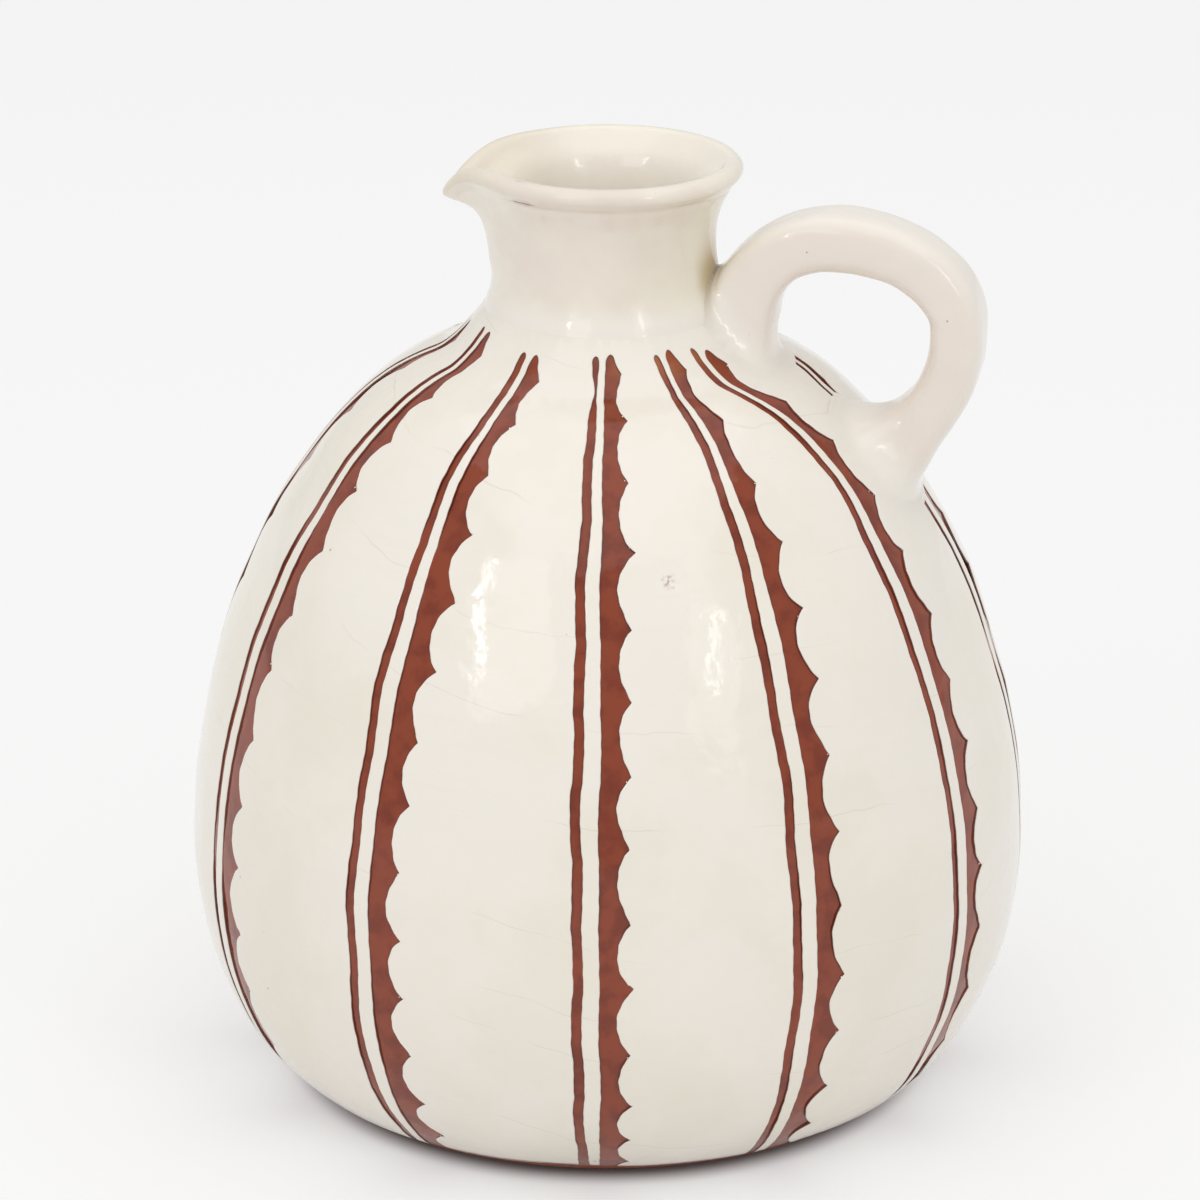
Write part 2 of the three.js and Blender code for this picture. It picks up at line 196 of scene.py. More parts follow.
class WallLine:
    """The outside of the vessel as radius and height, by distance along the wall from the foot."""

    def __init__(self, sizes):
        up = math.pi / 2
        foot = np.array((sizes.foot_radius, 0))
        belly = np.array((sizes.belly_radius, sizes.belly_height))
        shoulder = np.array((sizes.shoulder_radius, sizes.shoulder_height))
        waist = np.array((sizes.neck_radius, sizes.waist_height))
        half_lip = sizes.lip_thickness / 2
        self.lip_centre = np.array((sizes.lip_radius - half_lip, sizes.rim_height - half_lip))
        lip = along(self.lip_centre, -LIP_FLARE, half_lip)
        self.points = np.vstack((
            curve(foot, along(foot, FOOT_LEAN, FOOT_SWEEP), along(belly, -up, BELLY_SWEEP_DOWN), belly),
            curve(belly, along(belly, up, BELLY_SWEEP_UP),
                  along(shoulder, -SHOULDER_LEAN, SHOULDER_SWEEP_DOWN), shoulder),
            curve(shoulder, along(shoulder, math.pi - SHOULDER_LEAN, SHOULDER_SWEEP_UP),
                  along(waist, -up, WAIST_SWEEP_DOWN), waist),
            curve(waist, along(waist, up, WAIST_SWEEP_UP), along(lip, -up - LIP_FLARE, LIP_SWEEP), lip),
            lip,
        ))
        steps = np.linalg.norm(np.diff(self.points, axis=0), axis=1)
        self.distances = np.concatenate(([0], np.cumsum(steps)))
        self.end = self.distances[-1]
        heading = np.gradient(self.points, self.distances, axis=0)
        heading /= np.linalg.norm(heading, axis=1)[:, None]
        self.normals = np.column_stack((heading[:, 1], -heading[:, 0]))

    def _between(self, table, distance):
        return np.column_stack([np.interp(distance, self.distances, column) for column in table.T])

    def at(self, distance, depth=0.0):
        """Radius and height at distances along the wall, moved inwards by a depth."""
        distance = np.atleast_1d(distance)
        depth = np.broadcast_to(depth, distance.shape)[:, None]
        return self._between(self.points, distance) - depth * self.normal(distance)

    def normal(self, distance):
        """Outward direction in radius and height."""
        normal = self._between(self.normals, np.atleast_1d(distance))
        return normal / np.linalg.norm(normal, axis=1)[:, None]

    def radius(self, distance):
        """Radius at distances along the wall."""
        return np.interp(distance, self.distances, self.points[:, 0])

    def distance_at(self, height):
        """Distance along the wall at which a height is reached."""
        return float(np.interp(height, self.points[:, 1], self.distances))

    def clearance(self, places):
        """Gap from the wall to places, negative inside, with the way outwards and the distance there."""
        flat = np.column_stack((np.hypot(places[:, 0], places[:, 1]), places[:, 2]))
        clear = np.empty(len(flat))
        outward = np.empty((len(flat), 3))
        distance = np.empty(len(flat))
        for first in range(0, len(flat), PLACES_AT_ONCE):
            some = slice(first, first + PLACES_AT_ONCE)
            part = flat[some]
            gaps = part[:, None] - self.points[None]
            nearest = np.argmin((gaps ** 2).sum(axis=2), axis=1)
            normal = self.normals[nearest]
            clear[some] = ((part - self.points[nearest]) * normal).sum(axis=1)
            turn = places[some, :2] / np.maximum(part[:, :1], TINY)
            outward[some] = np.column_stack((turn * normal[:, :1], normal[:, 1]))
            distance[some] = self.distances[nearest]
        return clear, outward, distance


# Waves that throwing leaves on the wall: lobes round it, length along it, height and phase
THROWING_WAVES = (
    (0, 19 * MM, 0.045 * MM, 0.4),
    (0, 43 * MM, 0.05 * MM, 2.1),
    (1, 27 * MM, 0.05 * MM, 4.0),
    (2, 61 * MM, 0.09 * MM, 1.2),
    (3, 37 * MM, 0.06 * MM, 5.2),
    (5, 52 * MM, 0.06 * MM, 3.3),
    (7, 31 * MM, 0.035 * MM, 0.9),
)


def thrown_height(angle, distance):
    """Height of the soft rings and dents of a hand-thrown wall."""
    return sum(
        height * np.sin(lobes * angle + math.tau * distance / wave + phase)
        for lobes, wave, height, phase in THROWING_WAVES)


def waves_round(angle, waves):
    """Sum of waves round the axis, each given by its lobes, height and phase."""
    return sum(height * np.sin(lobes * angle + phase) for lobes, height, phase in waves)


def turn_about_axis(radius, height, angle):
    """Places at radii and heights, turned by angles about the pitcher's axis."""
    return np.column_stack((radius * np.cos(angle), radius * np.sin(angle), height))


def show(name, mesh):
    """Links a mesh to the scene as an object at the origin."""
    piece = bpy.data.objects.new(name, mesh)
    bpy.context.scene.collection.objects.link(piece)
    return piece


def hand_over(piece, nodes):
    """Rides a finished piece on the pitcher and lets it stand for its solids."""
    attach(piece, BODY)
    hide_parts(*nodes)


def grid_mesh(name, places, ring, loop):
    """A mesh over rows of places, closed along the rows and round them where asked, with its map."""
    rows, columns = places.shape[:2]
    mesh = bpy.data.meshes.new(name)
    row, column = np.meshgrid(
        np.arange(rows if loop else rows - 1), np.arange(columns if ring else columns - 1),
        indexing="ij")
    row, column = row.ravel(), column.ravel()
    corners = ((row, column), (row, column + 1), (row + 1, column + 1), (row + 1, column))
    faces = np.column_stack([(r % rows) * columns + c % columns for r, c in corners])
    mesh.from_pydata(places.reshape(-1, 3).tolist(), [], faces.tolist())
    shares = np.stack([np.column_stack((c / columns, r / rows)) for r, c in corners], axis=1)
    layer = mesh.uv_layers.new(name=SURFACE_MAP)
    layer.data.foreach_set("uv", shares.reshape(-1).astype(np.float32))
    mesh.polygons.foreach_set("use_smooth", np.ones(len(faces), bool))
    return mesh


def turn_outwards(mesh, fill=False):
    """Turns the faces of a mesh outwards, with its open ends filled first where asked."""
    shell = bmesh.new()
    shell.from_mesh(mesh)
    if fill:
        bmesh.ops.holes_fill(shell, edges=[edge for edge in shell.edges if edge.is_boundary])
    bmesh.ops.recalc_face_normals(shell, faces=shell.faces)
    shell.to_mesh(mesh)
    shell.free()


def add_point_values(mesh, name, values):
    """Keeps a value for each point of a mesh, which materials read by its name."""
    layer = mesh.attributes.new(name, "FLOAT", "POINT")
    layer.data.foreach_set("value", np.asarray(values, np.float32))


def add_node(tree, kind, sockets=None, **settings):
    """Adds a node, sets it up, and fills or links its inputs."""
    made = tree.nodes.new(kind)
    for name, value in settings.items():
        setattr(made, name, value)
    for name, value in (sockets or {}).items():
        if isinstance(value, bpy.types.NodeSocket):
            tree.links.new(value, made.inputs[name])
        else:
            made.inputs[name].default_value = value
    return made


def new_group(name, kind, inputs, outputs):
    """A node group with named sockets, and its input and output nodes."""
    tree = bpy.data.node_groups.new(name, kind)
    for socket, socket_type, default in inputs:
        made = tree.interface.new_socket(socket, in_out="INPUT", socket_type=socket_type)
        if default is not None:
            made.default_value = default
    for socket, socket_type in outputs:
        tree.interface.new_socket(socket, in_out="OUTPUT", socket_type=socket_type)
    return tree, tree.nodes.new("NodeGroupInput"), tree.nodes.new("NodeGroupOutput")


def math_node(tree, operation, first, second=0.0):
    """One step of arithmetic."""
    return add_node(tree, "ShaderNodeMath", {0: first, 1: second}, operation=operation).outputs[0]


def blend_colours(tree, share, low, high):
    """Mixes two colours by a share."""
    return add_node(tree, "ShaderNodeMix", {0: share, 6: low, 7: high}, data_type="RGBA").outputs[2]


def remap(tree, value, low, high, to_low=0.0, to_high=1.0):
    """Maps one range of values smoothly to another."""
    sockets = {"Value": value, "From Min": low, "From Max": high, "To Min": to_low, "To Max": to_high}
    mapped = add_node(tree, "ShaderNodeMapRange", sockets, interpolation_type="SMOOTHSTEP")
    return mapped.outputs["Result"]


def noise(tree, vector, scale, detail=2.0, roughness=0.5):
    """Value of a noise texture."""
    sockets = {"Vector": vector, "Scale": scale, "Detail": detail, "Roughness": roughness}
    return add_node(tree, "ShaderNodeTexNoise", sockets).outputs[0]


SPECK_WOBBLE = 0.9 * MM
SPECK_SIZES = (0.35, 1.2)
SPECK_EDGE = (1.15, 0.6)


def build_speck_group():
    """Iron specks: small uneven dots, far apart."""
    tree, given, result = new_group(
        "iron_specks", "ShaderNodeTree",
        (("Vector", "NodeSocketVector", None), ("Spacing", "NodeSocketFloat", 170.0),
         ("Dot size", "NodeSocketFloat", 0.046), ("Share", "NodeSocketFloat", 0.4)),
        (("Mask", "NodeSocketFloat"),))
    vector = given.outputs["Vector"]
    wobble = add_node(tree, "ShaderNodeTexNoise", {"Vector": vector, "Scale": 1400.0})
    shift = add_node(tree, "ShaderNodeVectorMath", {0: wobble.outputs["Color"], 1: (SPECK_WOBBLE,) * 3},
                     operation="MULTIPLY")
    moved = add_node(tree, "ShaderNodeVectorMath", {0: vector, 1: shift.outputs[0]})
    cells = add_node(tree, "ShaderNodeTexVoronoi",
                     {"Vector": moved.outputs[0], "Scale": given.outputs["Spacing"]})
    chance = add_node(tree, "ShaderNodeSeparateColor", {0: cells.outputs["Color"]})
    chosen = math_node(tree, "LESS_THAN", chance.outputs[0], given.outputs["Share"])
    size = math_node(tree, "MULTIPLY", given.outputs["Dot size"],
                     remap(tree, chance.outputs[1], 0.0, 1.0, *SPECK_SIZES))
    dot = math_node(tree, "DIVIDE", cells.outputs["Distance"], size)
    mask = math_node(tree, "MULTIPLY", chosen, remap(tree, dot, *SPECK_EDGE))
    tree.links.new(mask, result.inputs["Mask"])
    return tree


CRACK_TILT = (0.2, -0.08, 1.0)
CRACK_DRIFT = 0.02
CRACK_EDGE = (1.0, 0.2)
CRACK_FADE = 0.16


def build_craze_group():
    """Crazing: long fine cracks, nearly level and tilted alike, that come and go in the glaze."""
    tree, given, result = new_group(
        "fine_crazing", "ShaderNodeTree",
        (("Vector", "NodeSocketVector", None), ("Lines", "NodeSocketFloat", 58.0),
         ("Width", "NodeSocketFloat", 0.009), ("Cover", "NodeSocketFloat", 0.5)),
        (("Mask", "NodeSocketFloat"),))
    vector = given.outputs["Vector"]
    bend = noise(tree, vector, scale=17.0, detail=4.0)
    tilted = add_node(tree, "ShaderNodeVectorMath", {0: vector, 1: CRACK_TILT}, operation="DOT_PRODUCT")
    drift = math_node(tree, "MULTIPLY", bend, CRACK_DRIFT)
    level = math_node(tree, "ADD", tilted.outputs["Value"], drift)
    cracks = add_node(tree, "ShaderNodeTexVoronoi", {"W": level, "Scale": given.outputs["Lines"]},
                      voronoi_dimensions="1D", feature="DISTANCE_TO_EDGE")
    share = math_node(tree, "DIVIDE", cracks.outputs["Distance"], given.outputs["Width"])
    line = remap(tree, share, *CRACK_EDGE)
    patches = noise(tree, vector, scale=38.0)
    low = math_node(tree, "SUBTRACT", 1.0, given.outputs["Cover"])
    high = math_node(tree, "ADD", low, CRACK_FADE)
    shown = remap(tree, patches, low, high)
    tree.links.new(math_node(tree, "MULTIPLY", line, shown), result.inputs["Mask"])
    return tree


RIPPLE_SHARE = 0.2
RIPPLE_RANGE = (0.3, 0.75)
PEEL_SHARE = 0.012
GLAZE_ROUGHNESS = (0.05, 0.13)


def build_glaze_skin_group():
    """Height and roughness of a hand-poured glaze: slow waves, a ripple and a fine orange peel."""
    tree, given, result = new_group(
        "glaze_skin", "ShaderNodeTree",
        (("Vector", "NodeSocketVector", None), ("Waves", "NodeSocketFloat", 1.0),
         ("Peel", "NodeSocketFloat", 1.0)),
        (("Height", "NodeSocketFloat"), ("Roughness", "NodeSocketFloat")))
    vector = given.outputs["Vector"]
    slow = noise(tree, vector, scale=95.0)
    middle = noise(tree, vector, scale=330.0)
    fine = noise(tree, vector, scale=1500.0, detail=1.0)
    waves = math_node(tree, "MULTIPLY", slow, given.outputs["Waves"])
    ripple = math_node(tree, "MULTIPLY", middle, RIPPLE_SHARE)
    peel_depth = math_node(tree, "MULTIPLY", given.outputs["Peel"], PEEL_SHARE)
    peel = math_node(tree, "MULTIPLY", fine, peel_depth)
    height = math_node(tree, "ADD", waves, math_node(tree, "ADD", ripple, peel))
    tree.links.new(height, result.inputs["Height"])
    worn = remap(tree, middle, *RIPPLE_RANGE, *GLAZE_ROUGHNESS)
    tree.links.new(worn, result.inputs["Roughness"])
    return tree


DRIFT_RANGE = (0.36, 0.68)
BRUSH_STRETCH = (9.0, 130.0, 1.0)
BRUSH_RANGE = (0.5, 0.75)


def build_drift_group():
    """Tone of a brushed coat: broad drifts and faint streaks along its map."""
    tree, given, result = new_group(
        "brushed_drift", "ShaderNodeTree",
        (("Vector", "NodeSocketVector", None), ("Map", "NodeSocketVector", None),
         ("Main", "NodeSocketColor", (1, 1, 1, 1)), ("Drift", "NodeSocketColor", (1, 1, 1, 1)),
         ("Streak", "NodeSocketFloat", 0.3)),
        (("Color", "NodeSocketColor"),))
    broad = noise(tree, given.outputs["Vector"], scale=26.0, detail=4.0, roughness=0.6)
    drift = remap(tree, broad, *DRIFT_RANGE)
    stretched = add_node(tree, "ShaderNodeVectorMath", {0: given.outputs["Map"], 1: BRUSH_STRETCH},
                         operation="MULTIPLY")
    brush = noise(tree, stretched.outputs[0], scale=1.0, detail=3.0)
    streak = math_node(tree, "MULTIPLY", remap(tree, brush, *BRUSH_RANGE), given.outputs["Streak"])
    share = math_node(tree, "MAXIMUM", drift, streak)
    mixed = blend_colours(tree, share, given.outputs["Main"], given.outputs["Drift"])
    tree.links.new(mixed, result.inputs["Color"])
    return tree


def effect(tree, name, sockets):
    """Places one of the shared effects in a material."""
    builders = {
        "iron_specks": build_speck_group, "fine_crazing": build_craze_group,
        "glaze_skin": build_glaze_skin_group, "brushed_drift": build_drift_group,
    }
    group = bpy.data.node_groups.get(name) or builders[name]()
    return add_node(tree, "ShaderNodeGroup", sockets, node_tree=group)


def rgba(tint):
    """A colour property with full cover."""
    return (*tint, 1.0)


def stain(tree, tone, mask, depth, tint):
    """Tints a tone where a mask lies, up to a depth."""
    return blend_colours(tree, math_node(tree, "MULTIPLY", mask, depth), tone, rgba(tint))


def new_material(name):
    """A material with its surface shader and its coordinates."""
    material = bpy.data.materials.new(name)
    material.use_nodes = True
    tree = material.node_tree
    surface = tree.nodes["Principled BSDF"]
    places = tree.nodes.new("ShaderNodeTexCoord").outputs["Object"]
    return material, tree, surface, places


def attribute(tree, name):
    """A value that a piece keeps for its points."""
    return add_node(tree, "ShaderNodeAttribute", attribute_name=name).outputs["Fac"]


def dress_surface(tree, surface, tone, rough, height, relief):
    """Gives a surface its tone, its roughness and its relief."""
    bump = add_node(tree, "ShaderNodeBump", {"Height": height, "Distance": relief})
    tree.links.new(tone, surface.inputs["Base Color"])
    tree.links.new(rough, surface.inputs["Roughness"])
    tree.links.new(bump.outputs["Normal"], surface.inputs["Normal"])


def finish_glaze(tree, surface, places, tone, waves, relief):
    """Lays the shared glaze skin over a tone."""
    skin = effect(tree, "glaze_skin", {"Vector": places, "Waves": waves}).outputs
    dress_surface(tree, surface, tone, skin["Roughness"], skin["Height"], relief)


KILN_SPOT = (25.6 * MM, -61.2 * MM, 130.6 * MM)
KILN_SPOT_EDGE = (2.2 * MM, 0.3 * MM)
KILN_SPOT_GRAIN = (0.44, 0.66)


def kiln_spot(tree, places):
    """Mask of one rusty blemish on the front of the belly."""
    reach = add_node(tree, "ShaderNodeVectorMath", {0: places, 1: KILN_SPOT}, operation="DISTANCE")
    near = remap(tree, reach.outputs["Value"], *KILN_SPOT_EDGE)
    grain = noise(tree, places, scale=1100.0, detail=3.0)
    return math_node(tree, "MULTIPLY", near, remap(tree, grain, *KILN_SPOT_GRAIN))


CRAZE_DEPTH = 0.26
SPECK_DEPTH = 0.6
RUST_DEPTH = 0.8
GLAZE_RELIEF = 0.3 * MM


def pale_glaze(name, tints, main, drift, streak, craze_cover, speck_share, values=()):
    """A pale glaze with drifts, crazing and specks, tinted further by the values of a piece's points."""
    material, tree, surface, places = new_material(name)
    chart = add_node(tree, "ShaderNodeUVMap", uv_map=SURFACE_MAP).outputs["UV"]
    tone = effect(tree, "brushed_drift", {
        "Vector": places, "Map": chart, "Main": rgba(main), "Drift": rgba(drift), "Streak": streak,
    }).outputs["Color"]
    craze = effect(tree, "fine_crazing", {"Vector": places, "Cover": craze_cover}).outputs["Mask"]
    tone = stain(tree, tone, craze, CRAZE_DEPTH, tints.craze)
    specks = effect(tree, "iron_specks", {"Vector": places, "Share": speck_share}).outputs["Mask"]
    tone = stain(tree, tone, specks, SPECK_DEPTH, tints.speck)
    tone = stain(tree, tone, kiln_spot(tree, places), RUST_DEPTH, tints.rim_wear)
    for value, tint, low, high in values:
        share = remap(tree, attribute(tree, value), low, high)
        tone = blend_colours(tree, share, tone, rgba(tint))
    finish_glaze(tree, surface, places, tone, waves=1.0, relief=GLAZE_RELIEF)
    return material


CLAY_PATCHES = (0.42, 0.66)
GROG_DEPTH = 0.25
FLUSH_HEIGHTS = (160 * MM, 164 * MM)
FLUSH_PATCHES = (0.45, 0.6)
CLAY_RELIEF = 0.28 * MM


def clay_glaze(tints):
    """Red-brown clay under clear glaze, with redder patches and an orange flush near the neck."""
    material, tree, surface, places = new_material("glazed_clay")
    deep = remap(tree, noise(tree, places, scale=210.0, detail=4.0), *CLAY_PATCHES)
    tone = blend_colours(tree, deep, rgba(tints.clay), rgba(tints.clay_deep))
    grog = effect(tree, "iron_specks", {
        "Vector": places, "Spacing": 420.0, "Dot size": 0.16, "Share": 0.18}).outputs["Mask"]
    tone = stain(tree, tone, grog, GROG_DEPTH, tints.bare_clay)
    height = add_node(tree, "ShaderNodeSeparateXYZ", {0: places}).outputs["Z"]
    near_neck = remap(tree, height, *FLUSH_HEIGHTS)
    thin = remap(tree, noise(tree, places, scale=45.0), *FLUSH_PATCHES)
    flush = math_node(tree, "MULTIPLY", near_neck, thin)
    tone = blend_colours(tree, flush, tone, rgba(tints.flush))
    finish_glaze(tree, surface, places, tone, waves=1.6, relief=CLAY_RELIEF)
    return material


FOOT_STAINS = (0.35, 0.7)
FOOT_GRIT = (0.3, 0.7)
FOOT_ROUGHNESS = (0.62, 0.9)
FOOT_RELIEF = 0.25 * MM


def foot_clay(tints):
    """Dry clay of the foot, with grit and stains."""
    material, tree, surface, places = new_material("bare_foot")
    grit = noise(tree, places, scale=900.0, detail=5.0)
    stains = remap(tree, noise(tree, places, scale=70.0, detail=3.0), *FOOT_STAINS)
    tone = blend_colours(tree, stains, rgba(tints.bare_clay), rgba(tints.clay))
    rough = remap(tree, grit, *FOOT_GRIT, *FOOT_ROUGHNESS)
    dress_surface(tree, surface, tone, rough, grit, FOOT_RELIEF)
    return material


def kept_material(name, build):
    """The named material, built at its first use."""
    return bpy.data.materials.get(name) or build()


def slip_glaze(tints):
    """The pale glaze of the slip coat, with painted shade along each cut, partly glaze pooled there."""
    return kept_material("glazed_slip", lambda: pale_glaze(
        "glazed_slip", tints, tints.slip, tints.slip_warm,
        streak=0.35, craze_cover=0.54, speck_share=0.3,
        values=(("cut_edge_shade", tints.cut_shade_and_scratch, 0.6, 1.0),)))


def neck_glaze(tints):
    """The glaze of the neck, lightened inside as painted light, with painted shade by the handle and
    inside by the spout, partly yellow glaze pooled in the corner, and worn and scratched at the lip.
    """
    return kept_material("glazed_neck", lambda: pale_glaze(
        "glazed_neck", tints, tints.neck, tints.blush,
        streak=0.25, craze_cover=0.35, speck_share=0.7,
        values=(
            ("slip_lap", tints.slip, 0.0, 1.0),
            ("inside", tints.lining, 0.0, 1.0),
            ("shade_and_pool", tints.pool, 0.0, 1.2),
            ("rim_wear", tints.rim_wear, 0.0, 1.5),
            ("lip_scratch", tints.cut_shade_and_scratch, 0.0, 1.25),
        )))


def lining_glaze(tints):
    """The pale glaze inside the belly, lightened as painted light."""
    return kept_material("glazed_lining", lambda: pale_glaze(
        "glazed_lining", tints, tints.lining, tints.slip,
        streak=0.25, craze_cover=0.35, speck_share=0.3))


def handle_glaze(tints):
    """The pinker glaze of the handle, paler where slip laps its roots, lighter and creamier on its top
    face as painted light on a creamier glaze, and with painted shade, partly pooled glaze, in the corner
    by the neck.
    """
    return kept_material("glazed_handle", lambda: pale_glaze(
        "glazed_handle", tints, tints.handle, tints.blush,
        streak=0.2, craze_cover=0.35, speck_share=0.8,
        values=(
            ("lit_top_face", tints.slip, 0.0, 1.5),
            ("slip_lap", tints.slip, 0.0, 1.0),
            ("shade_and_pool", tints.pool, 0.0, 1.6),
        )))


SAME_PLACE = 1e-6


def build_lathe_tree():
    """A tree that turns a profile about the Z axis and glazes its wall, lining and foot."""
    tree, given, result = new_group(
        "clay_lathe", "GeometryNodeTree",
        (("Profile", "NodeSocketGeometry", None), ("Segments", "NodeSocketInt", 180),
         ("Lining rows", "NodeSocketInt", 60), ("Foot row", "NodeSocketInt", 120),
         ("Wall glaze", "NodeSocketMaterial", None), ("Lining glaze", "NodeSocketMaterial", None),
         ("Foot clay", "NodeSocketMaterial", None)),
        (("Vessel", "NodeSocketGeometry"),))
    count = add_node(tree, "GeometryNodeAttributeDomainSize", {"Geometry": given.outputs["Profile"]})
    columns = math_node(tree, "ADD", given.outputs["Segments"], 1.0)
    sheet = add_node(tree, "GeometryNodeMeshGrid", {
        "Size X": 1.0, "Size Y": 1.0, "Vertices X": count.outputs["Point Count"], "Vertices Y": columns})
    place = tree.nodes.new("GeometryNodeInputPosition")
    split = add_node(tree, "ShaderNodeSeparateXYZ", {0: place.outputs[0]})
    last = math_node(tree, "SUBTRACT", count.outputs["Point Count"], 1.0)
    row = math_node(tree, "MULTIPLY", math_node(tree, "ADD", split.outputs["X"], 0.5), last)
    turn = math_node(tree, "MULTIPLY", math_node(tree, "ADD", split.outputs["Y"], 0.5), math.tau)
    held = add_node(tree, "GeometryNodeStoreNamedAttribute", {
        "Geometry": sheet.outputs["Mesh"], "Name": "row", "Value": row},
        data_type="FLOAT", domain="FACE")
    mapped = add_node(tree, "GeometryNodeStoreNamedAttribute", {
        "Geometry": held.outputs[0], "Name": SURFACE_MAP, "Value": sheet.outputs["UV Map"]},
        data_type="FLOAT2", domain="CORNER")
    point = add_node(tree, "GeometryNodeSampleIndex", {
        "Geometry": given.outputs["Profile"], "Value": place.outputs[0],
        "Index": math_node(tree, "ROUND", row)}, data_type="FLOAT_VECTOR", domain="POINT")
    turned = add_node(tree, "ShaderNodeVectorRotate", {
        "Vector": point.outputs[0], "Angle": turn}, rotation_type="Z_AXIS")
    moved = add_node(tree, "GeometryNodeSetPosition", {
        "Geometry": mapped.outputs[0], "Position": turned.outputs[0]})
    closed = add_node(tree, "GeometryNodeMergeByDistance", {
        "Geometry": moved.outputs[0], "Distance": SAME_PLACE})
    rounded = add_node(tree, "GeometryNodeSetShadeSmooth", {"Geometry": closed.outputs[0]})
    real = add_node(tree, "GeometryNodeRealizeInstances", {"Geometry": rounded.outputs[0]})
    kept_row = add_node(tree, "GeometryNodeInputNamedAttribute", {"Name": "row"}, data_type="FLOAT")
    at_row = kept_row.outputs[0]
    wall = add_node(tree, "GeometryNodeSetMaterial", {
        "Geometry": real.outputs[0], "Material": given.outputs["Wall glaze"]})
    lining = add_node(tree, "GeometryNodeSetMaterial", {
        "Geometry": wall.outputs[0], "Material": given.outputs["Lining glaze"],
        "Selection": math_node(tree, "LESS_THAN", at_row, given.outputs["Lining rows"])})
    foot = add_node(tree, "GeometryNodeSetMaterial", {
        "Geometry": lining.outputs[0], "Material": given.outputs["Foot clay"],
        "Selection": math_node(tree, "GREATER_THAN", at_row, given.outputs["Foot row"])})
    tree.links.new(foot.outputs[0], result.inputs["Vessel"])
    return tree


CRUMB_LEAST = (0.6, 0.6, 0.35)
CRUMB_MOST = (1.5, 1.1, 0.6)
CRUMB_FINENESS = 2


def build_crumb_tree():
    """A tree that sets small crumbs of slip on points, each with its own size and turn."""
    tree, given, result = new_group(
        "slip_crumbs", "GeometryNodeTree",
        (("Points", "NodeSocketGeometry", None), ("Crumb size", "NodeSocketFloat", 0.3 * MM),
         ("Seed", "NodeSocketInt", 3), ("Glaze", "NodeSocketMaterial", None)),
        (("Crumbs", "NodeSocketGeometry"),))
    ball = add_node(tree, "GeometryNodeMeshIcoSphere", {
        "Radius": given.outputs["Crumb size"], "Subdivisions": CRUMB_FINENESS})
    size = add_node(tree, "FunctionNodeRandomValue", {
        "Min": CRUMB_LEAST, "Max": CRUMB_MOST, "Seed": given.outputs["Seed"]},
        data_type="FLOAT_VECTOR")
    facing = add_node(
        tree, "GeometryNodeInputNamedAttribute", {"Name": "facing"}, data_type="FLOAT_VECTOR")
    upright = add_node(
        tree, "FunctionNodeAlignRotationToVector", {"Vector": facing.outputs[0]}, axis="Z")
    twist = add_node(tree, "FunctionNodeRandomValue", {
        "Min": (0.0, 0.0, 0.0), "Max": (0.0, 0.0, math.tau), "Seed": given.outputs["Seed"]},
        data_type="FLOAT_VECTOR")
    turn = add_node(tree, "FunctionNodeRotateRotation", {
        "Rotation": upright.outputs[0], "Rotate By": twist.outputs[0]}, rotation_space="LOCAL")
    set_out = add_node(tree, "GeometryNodeInstanceOnPoints", {
        "Points": given.outputs["Points"], "Instance": ball.outputs["Mesh"],
        "Rotation": turn.outputs[0], "Scale": size.outputs[0]})
    real = add_node(tree, "GeometryNodeRealizeInstances", {"Geometry": set_out.outputs[0]})
    rounded = add_node(tree, "GeometryNodeSetShadeSmooth", {"Geometry": real.outputs[0]})
    glazed = add_node(tree, "GeometryNodeSetMaterial", {
        "Geometry": rounded.outputs[0], "Material": given.outputs["Glaze"]})
    tree.links.new(glazed.outputs[0], result.inputs["Crumbs"])
    return tree


def grow(piece, tree, values):
    """Runs a tree on a piece with its inputs set, and keeps the result as the piece's plain mesh."""
    modifier = piece.modifiers.new(tree.name, "NODES")
    modifier.node_group = tree
    inputs = [item for item in tree.interface.items_tree if item.in_out == "INPUT"]
    sockets = {item.name: item.identifier for item in inputs}
    for name, value in values.items():
        modifier[sockets[name]] = value
    bpy.context.view_layer.update()
    shaped = piece.evaluated_get(bpy.context.evaluated_depsgraph_get())
    mesh = bpy.data.meshes.new_from_object(shaped)
    start = piece.data
    piece.modifiers.clear()
    piece.data = mesh
    mesh.name = start.name
    bpy.data.meshes.remove(start)


def wander(random, reach, waves):
    """A hand's drift along the wall as a function of distance."""
    phases = random.uniform(0, math.tau, len(waves))
    return lambda distance: reach * sum(
        np.sin(math.tau * distance / wave + phase) for wave, phase in zip(waves, phases)) / len(waves)


# One value for each stripe: its turn from an even spacing, its lean below the neck, its bow over
# the belly, the pinch of its line and the extra width of its band
STRIPE_DRIFT_DEG = (1, -1.1, 0.7, 1.9, 0.8, -0.9, -3.5, -1.5, 0.6, 1.2, -0.8, -0.4)
STRIPE_LEAN_MM = (0, 0, 0, 0, -1.7, -6.9, 0, 4.2, 0, 0, 0.8, 0)
STRIPE_BOW_MM = (-1.4, -1.6, -1.0, 0, 0.9, 1.3, 1.2, -0.6, 0.8, 0, -0.9, 0.7)
STRIPE_PINCH = (0, 0.25, 0, 0.8, 0.2, 0, 0.5, 0, 0.3, 0, 0.5, 0)
BAND_EXTRA_MM = (0.3, 0.9, 0.7, 0, 0, 0, 0, 0, -0.3, 0, 0.3, 0)
STRIPE_COUNT = len(STRIPE_DRIFT_DEG)
SEEDS_APART = 100
LEAN_LENGTH = 44 * MM
BOW_HEIGHT = 80 * MM
BOW_LENGTH = 38 * MM
BOW_BACK = 0.5
BOW_BACK_LENGTH = 45 * MM
PINCH_DROP = 8 * MM
PINCH_LENGTH = 3.8 * MM

